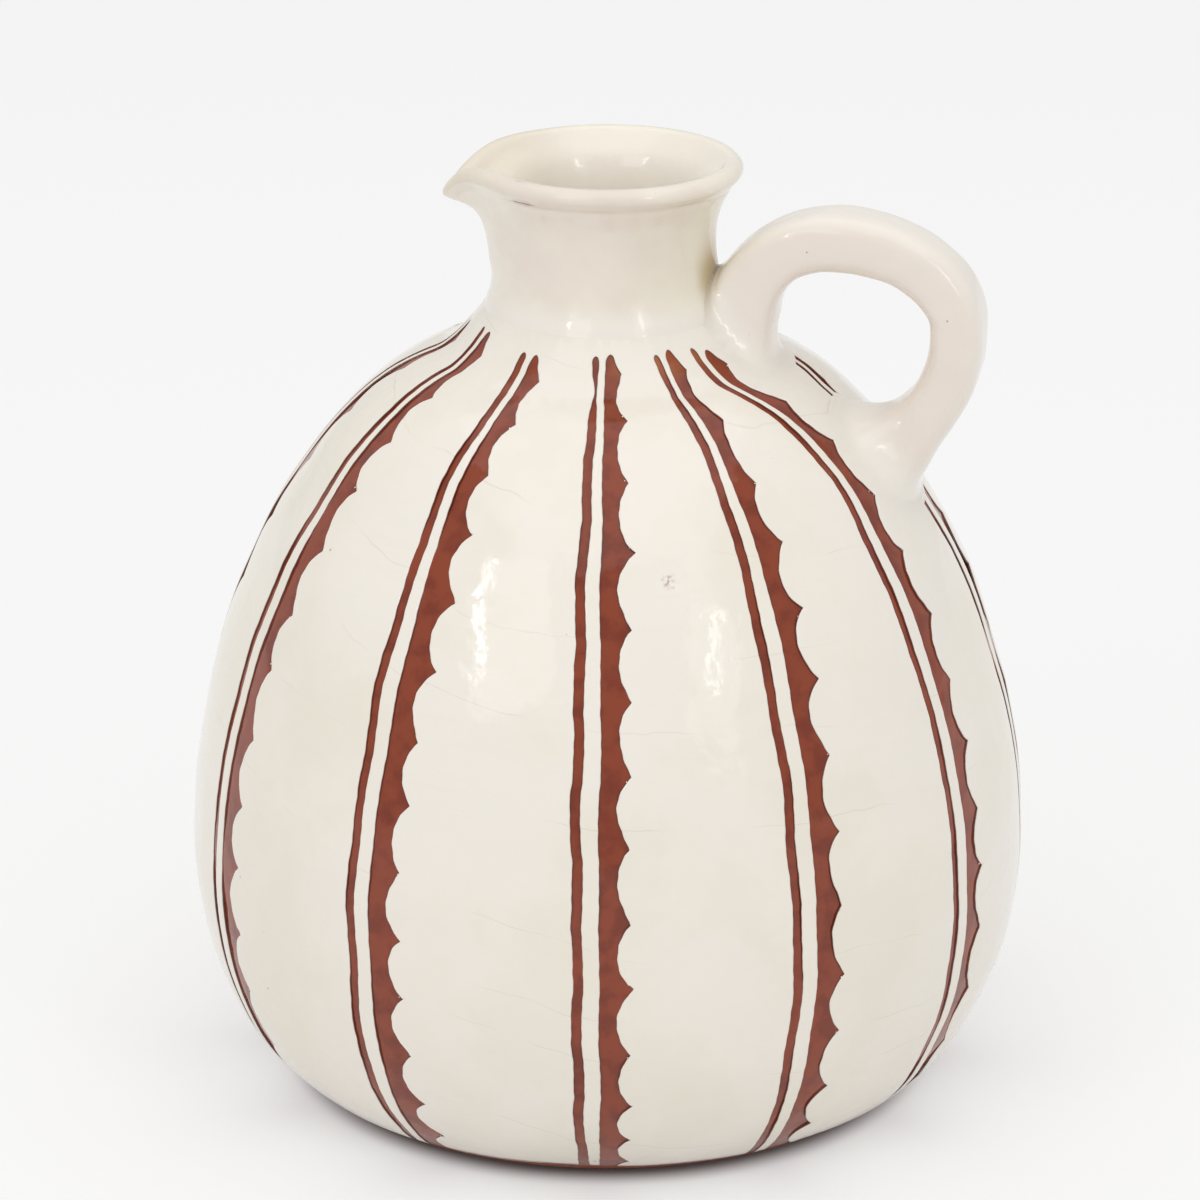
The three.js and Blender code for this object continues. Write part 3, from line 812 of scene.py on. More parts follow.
# The stripe beside the handle swerves above the lower root, where the tool lifted
HANDLE_STRIPE = 6
SWERVE = 6.2 * MM
SWERVE_DROP = 18.5 * MM
SWERVE_LENGTH = 8 * MM
LIFT = 0.7
LIFT_DROP = 26 * MM
LIFT_LENGTH = 9 * MM

# Unevenness of the hand: lengths of its waves, and how far each edge strays
SLOW_HAND = (23 * MM, 41 * MM, 67 * MM)
QUICK_HAND = (3.1 * MM, 5.3 * MM, 8.7 * MM)
BAND_SWAY = 0.38 * MM
RIB_SWAY = 0.3 * MM
LINE_SWAY = 0.16 * MM
LEFT_SHAKE = 0.1 * MM
RIGHT_SHAKE = 0.13 * MM

# Tops of the cuts, and the shares of their width that they keep towards the neck and the foot
STRIPE_TOP_GAP = 3.8 * MM
LINE_TOP_SPREAD_MM = (-1.2, 1.2)
BAND_TOP_SPREAD_MM = (-1.4, 0.8)
LINE_CAP = 1.4 * MM
BAND_CAP = 2.2 * MM
CAP_STEPS = 6
NECK_WIDTH = 0.65
TAPER_LENGTH = 60 * MM
TIP_WIDTH = 0.72
TIP_LENGTH = 9 * MM
LINE_LEAST_WIDTH = 0.35
RIB_NECK_WIDTH = 0.42
RIB_TAPER_LENGTH = 85 * MM
RIB_FOOT_WIDTH = 0.6
FOOT_TAPER_LENGTH = 45 * MM

# Points of the band: their reach past its ends, their spacing and how unlike they are
CUSP_OVER_TOP = 8 * MM
CUSP_UNDER_FOOT = 4 * MM
FIRST_CUSP_MM = (4, 6.5)
FOOT_PITCH = 0.55
FOOT_PITCH_RANGE = (10 * MM, 45 * MM)
PITCH_SPREAD = (0.87, 1.13)
SCALLOP_DEPTHS = (0.78, 1.15)
SCALLOP_SKEWS = (0.9, 1.3)
SCALLOP_ROUNDNESS = 0.9

CUT_STEP = 0.8 * MM
CUSP_CLEARANCE = 0.45 * CUT_STEP


class Stripe:
    """The two cuts of one stripe, the fine line and the scalloped band, by distance along the wall."""

    def __init__(self, index, wall, sizes, seam):
        random = np.random.default_rng(sizes.seed * SEEDS_APART + index)
        drift = math.radians(STRIPE_DRIFT_DEG[index])
        self.angle = sizes.start + math.tau * index / STRIPE_COUNT + drift
        self.wall = wall
        self.sizes = sizes
        self.bottom = sizes.foot_margin
        self.top = seam - STRIPE_TOP_GAP
        self.line_top = self.top + random.uniform(*LINE_TOP_SPREAD_MM) * MM
        self.band_top = self.top + random.uniform(*BAND_TOP_SPREAD_MM) * MM
        self.sway = wander(random, BAND_SWAY, SLOW_HAND)
        self.rib_sway = wander(random, RIB_SWAY, SLOW_HAND)
        self.line_sway = wander(random, LINE_SWAY, SLOW_HAND[:2] + QUICK_HAND[2:])
        self.left_shake = wander(random, LEFT_SHAKE, QUICK_HAND)
        self.right_shake = wander(random, RIGHT_SHAKE, QUICK_HAND)
        self.pinch = STRIPE_PINCH[index]
        self.lean = STRIPE_LEAN_MM[index] * MM
        self.bow = STRIPE_BOW_MM[index] * MM
        self.extra = BAND_EXTRA_MM[index] * MM
        beside_handle = index == HANDLE_STRIPE
        self.swerve = SWERVE if beside_handle else 0.0
        self.lift = LIFT if beside_handle else 0.0
        self.cusps = self._set_out_cusps(random)
        self.depths = random.uniform(*SCALLOP_DEPTHS, len(self.cusps))
        self.skews = random.uniform(*SCALLOP_SKEWS, len(self.cusps))

    def _set_out_cusps(self, random):
        places = [self.band_top + CUSP_OVER_TOP, self.band_top - random.uniform(*FIRST_CUSP_MM) * MM]
        while places[-1] > self.bottom - CUSP_UNDER_FOOT:
            shrink = part_way(FOOT_PITCH, float(smooth(places[-1], *FOOT_PITCH_RANGE)))
            pitch = self.sizes.scallop_pitch * shrink * random.uniform(*PITCH_SPREAD)
            places.append(places[-1] - pitch)
        return np.array(places[::-1])

    def taper(self, distance):
        """Narrowing of the cuts towards the neck, and where the tool lifted beside the handle."""
        below = self.top - distance
        to_neck = part_way(NECK_WIDTH, smooth(below, 0, TAPER_LENGTH))
        to_tip = part_way(TIP_WIDTH, smooth(below, 0, TIP_LENGTH))
        return to_neck * to_tip * (1 - self.lift * hump(below, LIFT_DROP, LIFT_LENGTH))

    def rib_taper(self, distance):
        """Narrowing of the slip between the two cuts."""
        to_neck = part_way(RIB_NECK_WIDTH, smooth(self.top - distance, 0, RIB_TAPER_LENGTH))
        return to_neck * part_way(RIB_FOOT_WIDTH, smooth(distance, 0, FOOT_TAPER_LENGTH))

    def band_left(self, distance):
        """Straight edge of the band, which bows over the belly and leans or swerves below the neck."""
        lean = self.lean * smooth(distance, self.top - LEAN_LENGTH, self.top)
        past = (distance - self.top + SWERVE_DROP) / SWERVE_LENGTH
        swerve = self.swerve * past * np.exp(-past ** 2)
        back = BOW_BACK * (1 - smooth(distance, 0, BOW_BACK_LENGTH))
        bow = self.bow * (hump(distance, BOW_HEIGHT, BOW_LENGTH) - back)
        return lean + swerve + bow + self.sway(distance) + self.left_shake(distance)

    def band_width(self, distance):
        """Width of the band, least midway between two points."""
        gap = np.clip(np.searchsorted(self.cusps, distance, side="right") - 1, 0, len(self.cusps) - 2)
        share = (distance - self.cusps[gap]) / (self.cusps[gap + 1] - self.cusps[gap])
        skewed = np.clip(share, 0, 1) ** self.skews[gap]
        arch = (4 * skewed * (1 - skewed)) ** SCALLOP_ROUNDNESS
        depth = self.depths[gap] + (self.depths[gap + 1] - self.depths[gap]) * share
        scallop = self.sizes.scallop_depth * depth * (1 - arch)
        plain = self.sizes.band_width + self.extra * smooth(self.top - distance, 0, TAPER_LENGTH)
        return (plain + scallop) * self.taper(distance) + self.right_shake(distance)

    def line_right(self, distance):
        """Edge of the fine line that faces the band."""
        rib = self.sizes.rib_width * self.rib_taper(distance) + self.rib_sway(distance)
        return self.band_left(distance) - rib

    def line_width(self, distance):
        """Width of the fine line, pinched below its top where the tool lifted."""
        waist = 1 - self.pinch * hump(distance, self.line_top - PINCH_DROP, PINCH_LENGTH)
        width = self.sizes.line_width + self.line_sway(distance)
        return width * part_way(LINE_LEAST_WIDTH, self.taper(distance)) * waist

    def _rows(self, top, cap, extra=()):
        straight = np.arange(self.bottom, top - cap, CUT_STEP)
        inner = np.array([d for d in extra if self.bottom + CUT_STEP < d < top - cap])
        if len(inner):
            near = np.min(np.abs(straight[:, None] - inner[None]), axis=1) < CUSP_CLEARANCE
            straight = straight[~near | (straight == self.bottom)]
        rounding = top - cap + cap * np.sin(np.linspace(0, math.pi / 2, CAP_STEPS + 1))
        return np.sort(np.concatenate((straight, inner, rounding)))

    def _outline(self, rows, left, width, top, cap):
        closing = np.sqrt(np.clip(1 - ((rows - (top - cap)) / cap).clip(0, 1) ** 2, 0, 1))
        middle = left + width / 2
        reach = width / 2 * closing
        radius = self.wall.radius(rows)
        going_up = np.column_stack((self.angle + (middle - reach) / radius, rows))
        going_down = np.column_stack((self.angle + (middle + reach) / radius, rows))[-2::-1]
        return np.vstack((going_up, going_down))

    def outlines(self):
        """Closed outlines of the line and the band, up the left edge and down the right one."""
        rows = self._rows(self.line_top, LINE_CAP)
        width = self.line_width(rows)
        yield self._outline(rows, self.line_right(rows) - width, width, self.line_top, LINE_CAP)
        rows = self._rows(self.band_top, BAND_CAP, self.cusps)
        yield self._outline(rows, self.band_left(rows), self.band_width(rows), self.band_top, BAND_CAP)

    def reach(self, distance):
        """Angles at the outer edges of the whole stripe."""
        radius = self.wall.radius(distance)
        left = self.line_right(distance) - self.line_width(distance)
        right = self.band_left(distance) + self.band_width(distance)
        return self.angle + left / radius, self.angle + right / radius

    def rib_middle(self, distance):
        """Angle of the middle of the slip between the line and the band."""
        middle = (self.band_left(distance) + self.line_right(distance)) / 2
        return self.angle + middle / self.wall.radius(distance)


# Spacing of the coat's points over the panels, and how far they keep from cuts, tips and sides
FIELD_STEP = 3.6 * MM
FIELD_FINE_STEP = 2.2 * MM
FIELD_FINE_LENGTH = 55 * MM
FIELD_GAP = 2 * MM
CUT_MARGIN = 1.3 * MM
OVER_TIP = 1.6 * MM
RIB_BELOW_TIP = 6 * MM
SIDE_MARGIN = 0.8 * MM
RING_MARGIN = 0.2 * MM
TOP_STEPS = 120

# Scale of the flat sheet in millimetres, and the gap within which two of its points are one
FLAT_RADIUS = 60.0
SAME_POINT = 1e-5

# Edges of the coat: rings along each cut, thinning at foot and seam, and the wiped line at the foot
EDGE_RINGS = (0.38, 1.0)
EDGE_ROLL = 0.5
FOOT_FEATHER = 2.6 * MM
FOOT_FEATHER_ROWS = (0, 0.25, 0.55, 1)
FOOT_THINNING = 0.75
SEAM_FEATHER = 2.2 * MM
SEAM_FEATHER_ROWS = (1, 0.6, 0.25, 0)
SEAM_THINNING = 0.55
FEATHER_STEP = 0.05
FOOT_WIPE = 0.4 * MM
FOOT_WIPE_WAVES = ((3, 1.0, 1.0), (7, 1.0, 0.0), (16, 0.6, 0.0))
FOOT_WIPE_LENGTH = 9 * MM

# Hidden side of the coat: how far it sinks into the clay, and how much steeper its cuts are shaded
COAT_SINK = 0.06 * MM
HIDDEN_SLOPE = 4


class CoatPlan:
    """The slip coat laid flat: points by angle and distance, with their way to the nearest cut."""

    def __init__(self, wall, sizes, seam):
        self.wall = wall
        self.sizes = sizes
        self.bottom = sizes.foot_margin
        self.seam = seam
        self.stripes = [Stripe(index, wall, sizes, seam) for index in range(STRIPE_COUNT)]
        self.start = self.stripes[0].angle - math.tau / (2 * STRIPE_COUNT)
        self.points = []
        self.to_cut = []
        self.ways = []
        self.cuts = []
        rings = []
        for stripe in self.stripes:
            for outline in stripe.outlines():
                rings.append(self._add_cut(outline))
        self._add_border()
        self._add_fields()
        self.base_count = len(self.points)
        for ring in rings:
            for place, gap, way in ring:
                self._add(place, gap, way)

    def _add(self, place, to_cut=1.0, way=(0.0, 0.0)):
        self.points.append(place)
        self.to_cut.append(to_cut)
        self.ways.append(way)

    def _add_cut(self, outline):
        first = len(self.points)
        radius = self.wall.radius(outline[:, 1])
        heading = np.gradient(outline, axis=0)
        heading[:, 0] *= radius
        heading /= np.linalg.norm(heading, axis=1)[:, None]
        outward = np.column_stack((-heading[:, 1], heading[:, 0]))
        for place, away in zip(outline, outward):
            self._add(place, 0.0, -away)
        self.cuts.append(list(range(len(self.points) - 1, first - 1, -1)))
        ring = []
        stretch = np.column_stack((radius, np.ones(len(radius))))
        for share in EDGE_RINGS:
            moved = outline + share * self.sizes.edge * outward / stretch
            for end in (0, -1):
                self._add((moved[end, 0], self.bottom), share, -outward[end])
            ring += [(place, share, -away) for place, away in zip(moved[1:-1], outward[1:-1])
                     if place[1] > self.bottom + RING_MARGIN]
        return ring

    def _add_border(self):
        """Points up both sides of the flat sheet, which close to one seam, and along its top."""
        self.side_rows = self._field_rows()
        for side in (self.start, self.start + math.tau):
            for row in self.side_rows:
                self._add((side, row))
        rows = len(self.side_rows)
        count = len(self.points)
        self.left_side = range(count - 2 * rows, count - rows)
        self.right_side = range(count - rows, count)
        for share in np.arange(1, TOP_STEPS) / TOP_STEPS:
            self._add((self.start + math.tau * share, self.seam))

    def _field_rows(self):
        low = self.bottom + np.array(FOOT_FEATHER_ROWS) * FOOT_FEATHER
        fine_from = self.seam - FIELD_FINE_LENGTH
        middle = np.arange(low[-1] + FIELD_GAP, fine_from, FIELD_STEP)
        fine = np.arange(fine_from, self.seam - SEAM_FEATHER - MM, FIELD_FINE_STEP)
        high = self.seam - np.array(SEAM_FEATHER_ROWS) * SEAM_FEATHER
        return np.concatenate((low, middle, fine, high))

    def _add_fields(self):
        """Points over the panels, along the ribs and over the uncut collar."""
        stripes = self.stripes + self.stripes[:1]
        for row in self.side_rows[:-1]:
            radius = float(self.wall.radius(row))
            for index, (here, after) in enumerate(zip(stripes, stripes[1:])):
                turn = math.tau if index == STRIPE_COUNT - 1 else 0.0
                left = here.reach(row)[1]
                right = after.reach(row)[0] + turn
                if row > here.top + OVER_TIP:
                    left = here.angle
                    right = after.angle + turn
                self._fill(row, left + CUT_MARGIN / radius, right - CUT_MARGIN / radius, radius)
                if row < here.top - RIB_BELOW_TIP:
                    self._add((float(here.rib_middle(row)), row))

    def _fill(self, row, left, right, radius):
        count = max(2, round((right - left) * radius / FIELD_STEP))
        edge = self.start + math.tau
        for angle in np.linspace(left, right, count + 1):
            turned = angle - math.tau if angle > edge else angle
            if min(abs(turned - self.start), abs(turned - edge)) * radius > SIDE_MARGIN:
                self._add((turned, row))

    def triangles(self, count):
        """Triangles over the first points, without those in the cuts."""
        flat = [Vector(((angle - self.start) * FLAT_RADIUS, distance / MM))
                for angle, distance in self.points[:count]]
        _, _, faces, sources, _, inside = delaunay_2d_cdt(flat, [], self.cuts, 0, SAME_POINT)
        kept = [face for face, owners in zip(faces, inside) if not owners]
        return np.array([[sources[corner][0] for corner in face] for face in kept])


def feather(share, deepest, length):
    """Depth of a thinned edge at shares of its length, and its slope along the wall."""
    depth = deepest * (1 - smooth(share, 0, 1))
    rise = smooth(share + FEATHER_STEP, 0, 1) - smooth(share - FEATHER_STEP, 0, 1)
    return depth, deepest * rise / (2 * FEATHER_STEP * length)


def coat_depths(plan, sizes):
    """Depth of the coat's points under the wall, with its slopes to the cut and along the wall."""
    height = np.array(plan.points)[:, 1]
    to_cut = np.clip(np.array(plan.to_cut), 0, 1)
    roll = EDGE_ROLL * sizes.coat
    edge_depth = roll * (1 - to_cut) ** 2
    edge_slope = np.where(to_cut < 1, 2 * roll / sizes.edge * (1 - to_cut), 0)
    over_foot = (height - plan.bottom) / FOOT_FEATHER
    under_seam = (plan.seam - height) / SEAM_FEATHER
    foot_depth, foot_slope = feather(over_foot, FOOT_THINNING * sizes.coat, FOOT_FEATHER)
    seam_depth, seam_slope = feather(under_seam, SEAM_THINNING * sizes.coat, SEAM_FEATHER)
    depth = np.maximum(edge_depth, foot_depth + seam_depth)
    return depth, edge_slope, seam_slope - foot_slope


def coat_places(plan, depth):
    """Places of the coat's points at depths under the thrown wall, with an uneven edge at the foot."""
    angle, distance = np.array(plan.points).T
    wiped = FOOT_WIPE * waves_round(angle, FOOT_WIPE_WAVES)
    distance = distance + wiped * (1 - smooth(distance, plan.bottom, plan.bottom + FOOT_WIPE_LENGTH))
    flat = plan.wall.at(distance, depth - thrown_height(angle, distance))
    return turn_about_axis(flat[:, 0], flat[:, 1], angle)


NORMAL_STEP = 0.2 * MM


def thrown_normals(wall, angle, distance):
    """Outward directions of the thrown wall, with its directions sideways and up the wall."""
    flat = wall.normal(distance)
    radius = wall.radius(distance)
    outward = turn_about_axis(flat[:, 0], flat[:, 1], angle)
    sideways = turn_about_axis(np.ones(len(angle)), np.zeros(len(angle)), angle + math.pi / 2)
    upward = turn_about_axis(-flat[:, 1], flat[:, 0], angle)
    side = NORMAL_STEP / radius
    side_rise = thrown_height(angle + side, distance) - thrown_height(angle - side, distance)
    up_rise = thrown_height(angle, distance + NORMAL_STEP) - thrown_height(angle, distance - NORMAL_STEP)
    side_tilt = side_rise / (2 * NORMAL_STEP)
    up_tilt = up_rise / (2 * NORMAL_STEP)
    return outward - sideways * side_tilt[:, None] - upward * up_tilt[:, None], sideways, upward


def coat_normals(plan, edge_slope, along_slope):
    """Outward directions of the coat, tilted by its edges and its thrown waves."""
    angle, distance = np.array(plan.points).T
    normals, sideways, upward = thrown_normals(plan.wall, angle, distance)
    ways = np.array(plan.ways)
    normals += sideways * ways[:, :1] * edge_slope[:, None]
    normals += upward * (ways[:, 1:] * edge_slope[:, None] + along_slope[:, None])
    return normals / np.linalg.norm(normals, axis=1)[:, None]


def seam_merge(plan):
    """Index of each point with the right side of the sheet closed on the left side."""
    merged = np.arange(len(plan.points))
    merged[list(plan.right_side)] = list(plan.left_side)
    return merged


def open_edges(faces):
    """Edges that only one of the faces uses, in that face's direction."""
    edges = np.concatenate((faces[:, [0, 1]], faces[:, [1, 2]], faces[:, [2, 0]]))
    known = {(a, b) for a, b in edges.tolist()}
    return [(a, b) for a, b in edges.tolist() if (b, a) not in known]


def make_slip_coat(sizes, wall, seam):
    """The closed mesh of the slip coat with its cuts open to the clay, and its outward directions."""
    plan = CoatPlan(wall, sizes, seam)
    merged = seam_merge(plan)
    depth, edge_slope, along_slope = coat_depths(plan, sizes)
    outer = coat_places(plan, depth)
    inner = coat_places(plan, np.full(len(depth), sizes.coat + COAT_SINK))[:plan.base_count]
    outer_faces = plan.triangles(len(plan.points))
    inner_faces = plan.triangles(plan.base_count)
    shift = len(outer)
    skin = merged[outer_faces]
    back = merged[inner_faces][:, ::-1] + shift
    sides = [(b, a, a + shift, b + shift) for a, b in open_edges(skin)]
    mesh = bpy.data.meshes.new("slip_coat")
    faces = skin.tolist() + back.tolist() + sides
    mesh.from_pydata(np.vstack((outer, inner)).tolist(), [], faces)
    chart = np.array(plan.points)
    chart = np.column_stack(((chart[:, 0] - plan.start) / math.tau, chart[:, 1] / plan.seam))
    corners = np.concatenate((
        outer_faces.ravel(), inner_faces[:, ::-1].ravel(), np.array(sides).ravel() % shift))
    layer = mesh.uv_layers.new(name=SURFACE_MAP)
    layer.data.foreach_set("uv", chart[corners].ravel().astype(np.float32))
    # Painted shade: the slip darkens towards each cut, as shade in the recess and glaze pooled there.
    edge = 1 - np.clip(plan.to_cut, 0, 1)
    edge = np.concatenate((edge, edge[:plan.base_count]))
    add_point_values(mesh, "cut_edge_shade", edge)
    mesh.polygons.foreach_set("use_smooth", np.ones(len(faces), bool))
    normals = coat_normals(plan, edge_slope, along_slope)
    hidden = coat_normals(plan, HIDDEN_SLOPE * edge_slope, along_slope)[:plan.base_count]
    mesh.update()
    return mesh, np.vstack((normals, hidden))


def wall_and_seam(scene):
    """The line of the vessel's wall, and the distance along it at which the slip coat ends."""
    wall = WallLine(scene.pitcher_vessel)
    return wall, wall.distance_at(scene.pitcher_vessel.seam_height)


LINING_ROWS = 70
WALL_ROWS = 150
VESSEL_SEGMENTS = 192
FLOOR_CLEARANCE = 0.3 * MM
FLOOR_FILLET = 5 * MM
FLOOR_PULL = 2 * MM
WALL_PULL = (1 * MM, 0.8 * MM)
FILLET_STEPS = 6
FLOOR_RING = 30 * MM
RECESS_RING = 25 * MM
FOOT_CLEARANCE = 0.15 * MM

# Turns of the foot: how far each lies inside its edge, with its height or its share of the recess
FOOT_EDGE_TURNS = ((0.35 * MM, 0.04 * MM), (0.8 * MM, 0))
RING_EDGE_TURNS = ((-0.6 * MM, 0), (0, 0.12 * MM))
RECESS_TURNS = ((1.2 * MM, 0.85), (2.2 * MM, 1))


def lining_profile(wall, sizes, top, depth):
    """The inside of the vessel from the axis, over the floor and up to its top."""
    side = wall.at(np.linspace(0, top, LINING_ROWS), depth)
    side = side[side[:, 1] > sizes.floor + FLOOR_CLEARANCE]
    corner = side[0]
    start = np.array((corner[0] - FLOOR_FILLET, sizes.floor))
    start_pull = np.array((corner[0] - FLOOR_PULL, sizes.floor))
    fillet = curve(start, start_pull, corner - np.array(WALL_PULL), corner, FILLET_STEPS)
    return np.vstack(((0, sizes.floor), (FLOOR_RING, sizes.floor), fillet, side))


def foot_profile(sizes, edge):
    """The foot from the wall's edge in to the axis: the ring that it stands on, and the recess."""
    ring_inside = sizes.foot_radius - sizes.foot_ring
    recess = sizes.foot_recess
    return np.array(
        [(edge - inset, height) for inset, height in FOOT_EDGE_TURNS]
        + [(ring_inside - inset, height) for inset, height in RING_EDGE_TURNS]
        + [(ring_inside - inset, share * recess) for inset, share in RECESS_TURNS]
        + [(RECESS_RING, recess), (0, recess)])


class PITCHER_OT_clay_vessel(bpy.types.Operator):
    """Turn the clay vessel with its lining and foot"""

    bl_idname = "pitcher.clay_vessel"
    bl_label = "Clay vessel"

    def execute(self, context):
        sizes = context.scene.pitcher_vessel
        stripes = context.scene.pitcher_stripes
        tints = context.scene.pitcher_colours
        wall, top = wall_and_seam(context.scene)
        lining = lining_profile(wall, sizes, top, stripes.coat + sizes.wall)
        rows = np.linspace(top, 0, WALL_ROWS)
        glazed_rows = np.count_nonzero(rows > stripes.foot_margin)
        outer = wall.at(rows, stripes.coat)
        outer = outer[outer[:, 1] > FOOT_CLEARANCE]
        profile = np.vstack((lining, outer, foot_profile(sizes, outer[-1, 0])))
        mesh = bpy.data.meshes.new("clay_vessel")
        mesh.from_pydata([(radius, 0, height) for radius, height in profile], [], [])
        vessel = show("clay_vessel", mesh)
        grow(vessel, build_lathe_tree(), {
            "Segments": VESSEL_SEGMENTS,
            "Lining rows": len(lining),
            "Foot row": len(lining) + glazed_rows - 1,
            "Wall glaze": kept_material("glazed_clay", lambda: clay_glaze(tints)),
            "Lining glaze": lining_glaze(tints),
            "Foot clay": kept_material("bare_foot", lambda: foot_clay(tints)),
        })
        turn_outwards(vessel.data)
        hand_over(vessel, ["belly"])
        return {"FINISHED"}


class PITCHER_OT_slip_coat(bpy.types.Operator):
    """Lay the slip coat and cut the stripes through it"""

    bl_idname = "pitcher.slip_coat"
    bl_label = "Slip coat"

    def execute(self, context):
        wall, seam = wall_and_seam(context.scene)
        mesh, normals = make_slip_coat(context.scene.pitcher_stripes, wall, seam)
        mesh.materials.append(slip_glaze(context.scene.pitcher_colours))
        coat = show("slip_coat", mesh)
        mesh.normals_split_custom_set_from_vertices(normals.tolist())
        numbers = [f"{index + 1:02d}" for index in range(STRIPE_COUNT)]
        nodes = [f"slip_{kind}_{number}" for kind in ("rib", "panel") for number in numbers]
        hand_over(coat, ["slip_collar"] + nodes)
        return {"FINISHED"}


NECK_COLUMNS = 240
NECK_ROWS = 70
LIP_ROWS = 34
ROLL_STEPS = 14
INSIDE_ROWS = 56
NECK_LAP = 3 * MM
LIP_LENGTH = 5 * MM
TUCK_BELOW = 1.6 * MM
TUCK_ABOVE = 2.2 * MM
CREASE_DEPTH = 0.2 * MM
CREASE_DROP = 2.1 * MM
CREASE_WIDTH = 1 * MM
LIP_SQUARENESS = 2.5
NECK_WALL = 3.8 * MM
BEVEL_SWELL = 0.3 * MM
BEVEL_BELOW_LIP = 5 * MM
BEVEL_SPREAD = 3.6 * MM
INSIDE_WAVES = 0.5


def lip_roll(wall, sizes):
    """The roll of the lip, from the end of the wall's outside over to its inside."""
    turns = np.linspace(0, math.pi, ROLL_STEPS + 1)[1:-1]
    across = np.array((math.cos(-LIP_FLARE), math.sin(-LIP_FLARE)))
    over = np.array((-across[1], across[0]))
    power = LIP_SQUARENESS
    reach = (np.abs(np.cos(turns)) ** power + np.abs(np.sin(turns)) ** power) ** (-1 / power)
    ways = np.cos(turns)[:, None] * across + np.sin(turns)[:, None] * over
    roll = wall.lip_centre + sizes.lip_thickness / 2 * reach[:, None] * ways
    roll[:, 1] = np.minimum(roll[:, 1], sizes.rim_height)
    return roll


def neck_section(wall, sizes, seam, coat):
    """The neck's section from the foot of its outside, over the lip and down its inside."""
    fine_from = wall.end - LIP_LENGTH
    rows = np.concatenate((
        np.linspace(seam - NECK_LAP, fine_from, NECK_ROWS)[:-1],
        np.linspace(fine_from, wall.end, LIP_ROWS)))
    tuck = coat * (1 - smooth(rows, seam - TUCK_BELOW, seam + TUCK_ABOVE))
    crease = CREASE_DEPTH * hump(rows, wall.end - CREASE_DROP, CREASE_WIDTH)
    outside = wall.at(rows, tuck + crease)
    inner_rows = np.linspace(wall.end, seam - NECK_LAP, INSIDE_ROWS)
    waist = wall.distance_at(sizes.waist_height)
    thin = NECK_WALL + (coat + sizes.wall - NECK_WALL) * (1 - smooth(inner_rows, seam, waist))
    thick = thin + (sizes.lip_thickness - thin) * smooth(inner_rows, waist, wall.end)
    below_lip = wall.end - inner_rows
    swell = BEVEL_SWELL * hump(below_lip, BEVEL_BELOW_LIP, BEVEL_SPREAD)
    inside = wall.at(inner_rows, thick + swell * smooth(below_lip, 0, BEVEL_BELOW_LIP))
    return np.vstack((outside, lip_roll(wall, sizes), inside)), len(rows)


SPOUT_SOFTNESS = math.radians(12)
SPOUT_FAIRING = 0.6
SPOUT_RUNOUT = 0.4
SPOUT_HOLLOW_SHARE = 0.6
SPOUT_THROAT = 4.6 * MM


def spout_pull(sizes, angle):
    """How far the lip is pulled out at angles from the middle of the spout."""
    radius = sizes.lip_radius
    half = math.acos(radius / (radius + sizes.spout_pull))
    soft = np.hypot(angle, SPOUT_SOFTNESS) - SPOUT_SOFTNESS
    return np.where(soft < half, radius / np.cos(half - np.minimum(soft, half)) - radius, 0)


def spout_share(sizes, height):
    """Share of the pull by height: the lip moves as one, over a short throat and a long soft hollow."""
    half_lip = sizes.lip_thickness / 2
    below = np.maximum(0, sizes.rim_height - half_lip - height)
    left = np.maximum(0, 1 - below / (sizes.spout_depth - half_lip))
    hollow = left ** SPOUT_FAIRING * smooth(left, 0, SPOUT_RUNOUT)
    throat = hump(below, 0, SPOUT_THROAT)
    return SPOUT_HOLLOW_SHARE * hollow + (1 - SPOUT_HOLLOW_SHARE) * throat


# Slip that laps up the neck, and the rows of the lip over which the inside is lightened as painted light
LAP_LENGTH = 9 * MM
INSIDE_FADE = (ROLL_STEPS // 2, ROLL_STEPS + 3)

# Painted shade: in the corner by the handle, where it is partly yellow glaze pooled, on the handle's
# side of the neck, and inside by the spout
CORNER_SHADE_TURN = (0.86, 1.0)
CORNER_SHADE_RISE = 8 * MM
CORNER_SHADE_HEIGHT = 6 * MM
HANDLE_SIDE_SHADE = 0.34
HANDLE_SIDE = (-0.1, 0.75)
SPOUT_SIDE_SHADE = 0.36
SPOUT_SIDE = (0.3, 0.95)

# Wear on the lip: a pink bloom over its roll, and a patchy ring along its lower edge
LIP_BLOOM = 0.25
LIP_BLOOM_EDGE = (1.2 * MM, 3.2 * MM)
LIP_TOP_ROW = 0.6 * ROLL_STEPS
LIP_RING = 0.55
LIP_RING_DROP = 1.5 * MM
LIP_RING_WIDTH = 0.7 * MM
LIP_RING_COVER = 0.5
LIP_RING_WAVES = ((3, 0.3, 1.0), (8, 0.2, 0.0))

# A dark scratch under the lip beside the spout, and a scuff on top of it
SCRATCH_TURN = math.radians(242)
SCRATCH_SPAN = 0.12
SCRATCH_DROP = 1.1 * MM
SCRATCH_WIDTH = 0.24 * MM
SCUFF_TURN = -0.06
SCUFF_SPAN = 0.05
SCUFF_ROWS = 1.1
SCUFF_DEPTH = 0.45


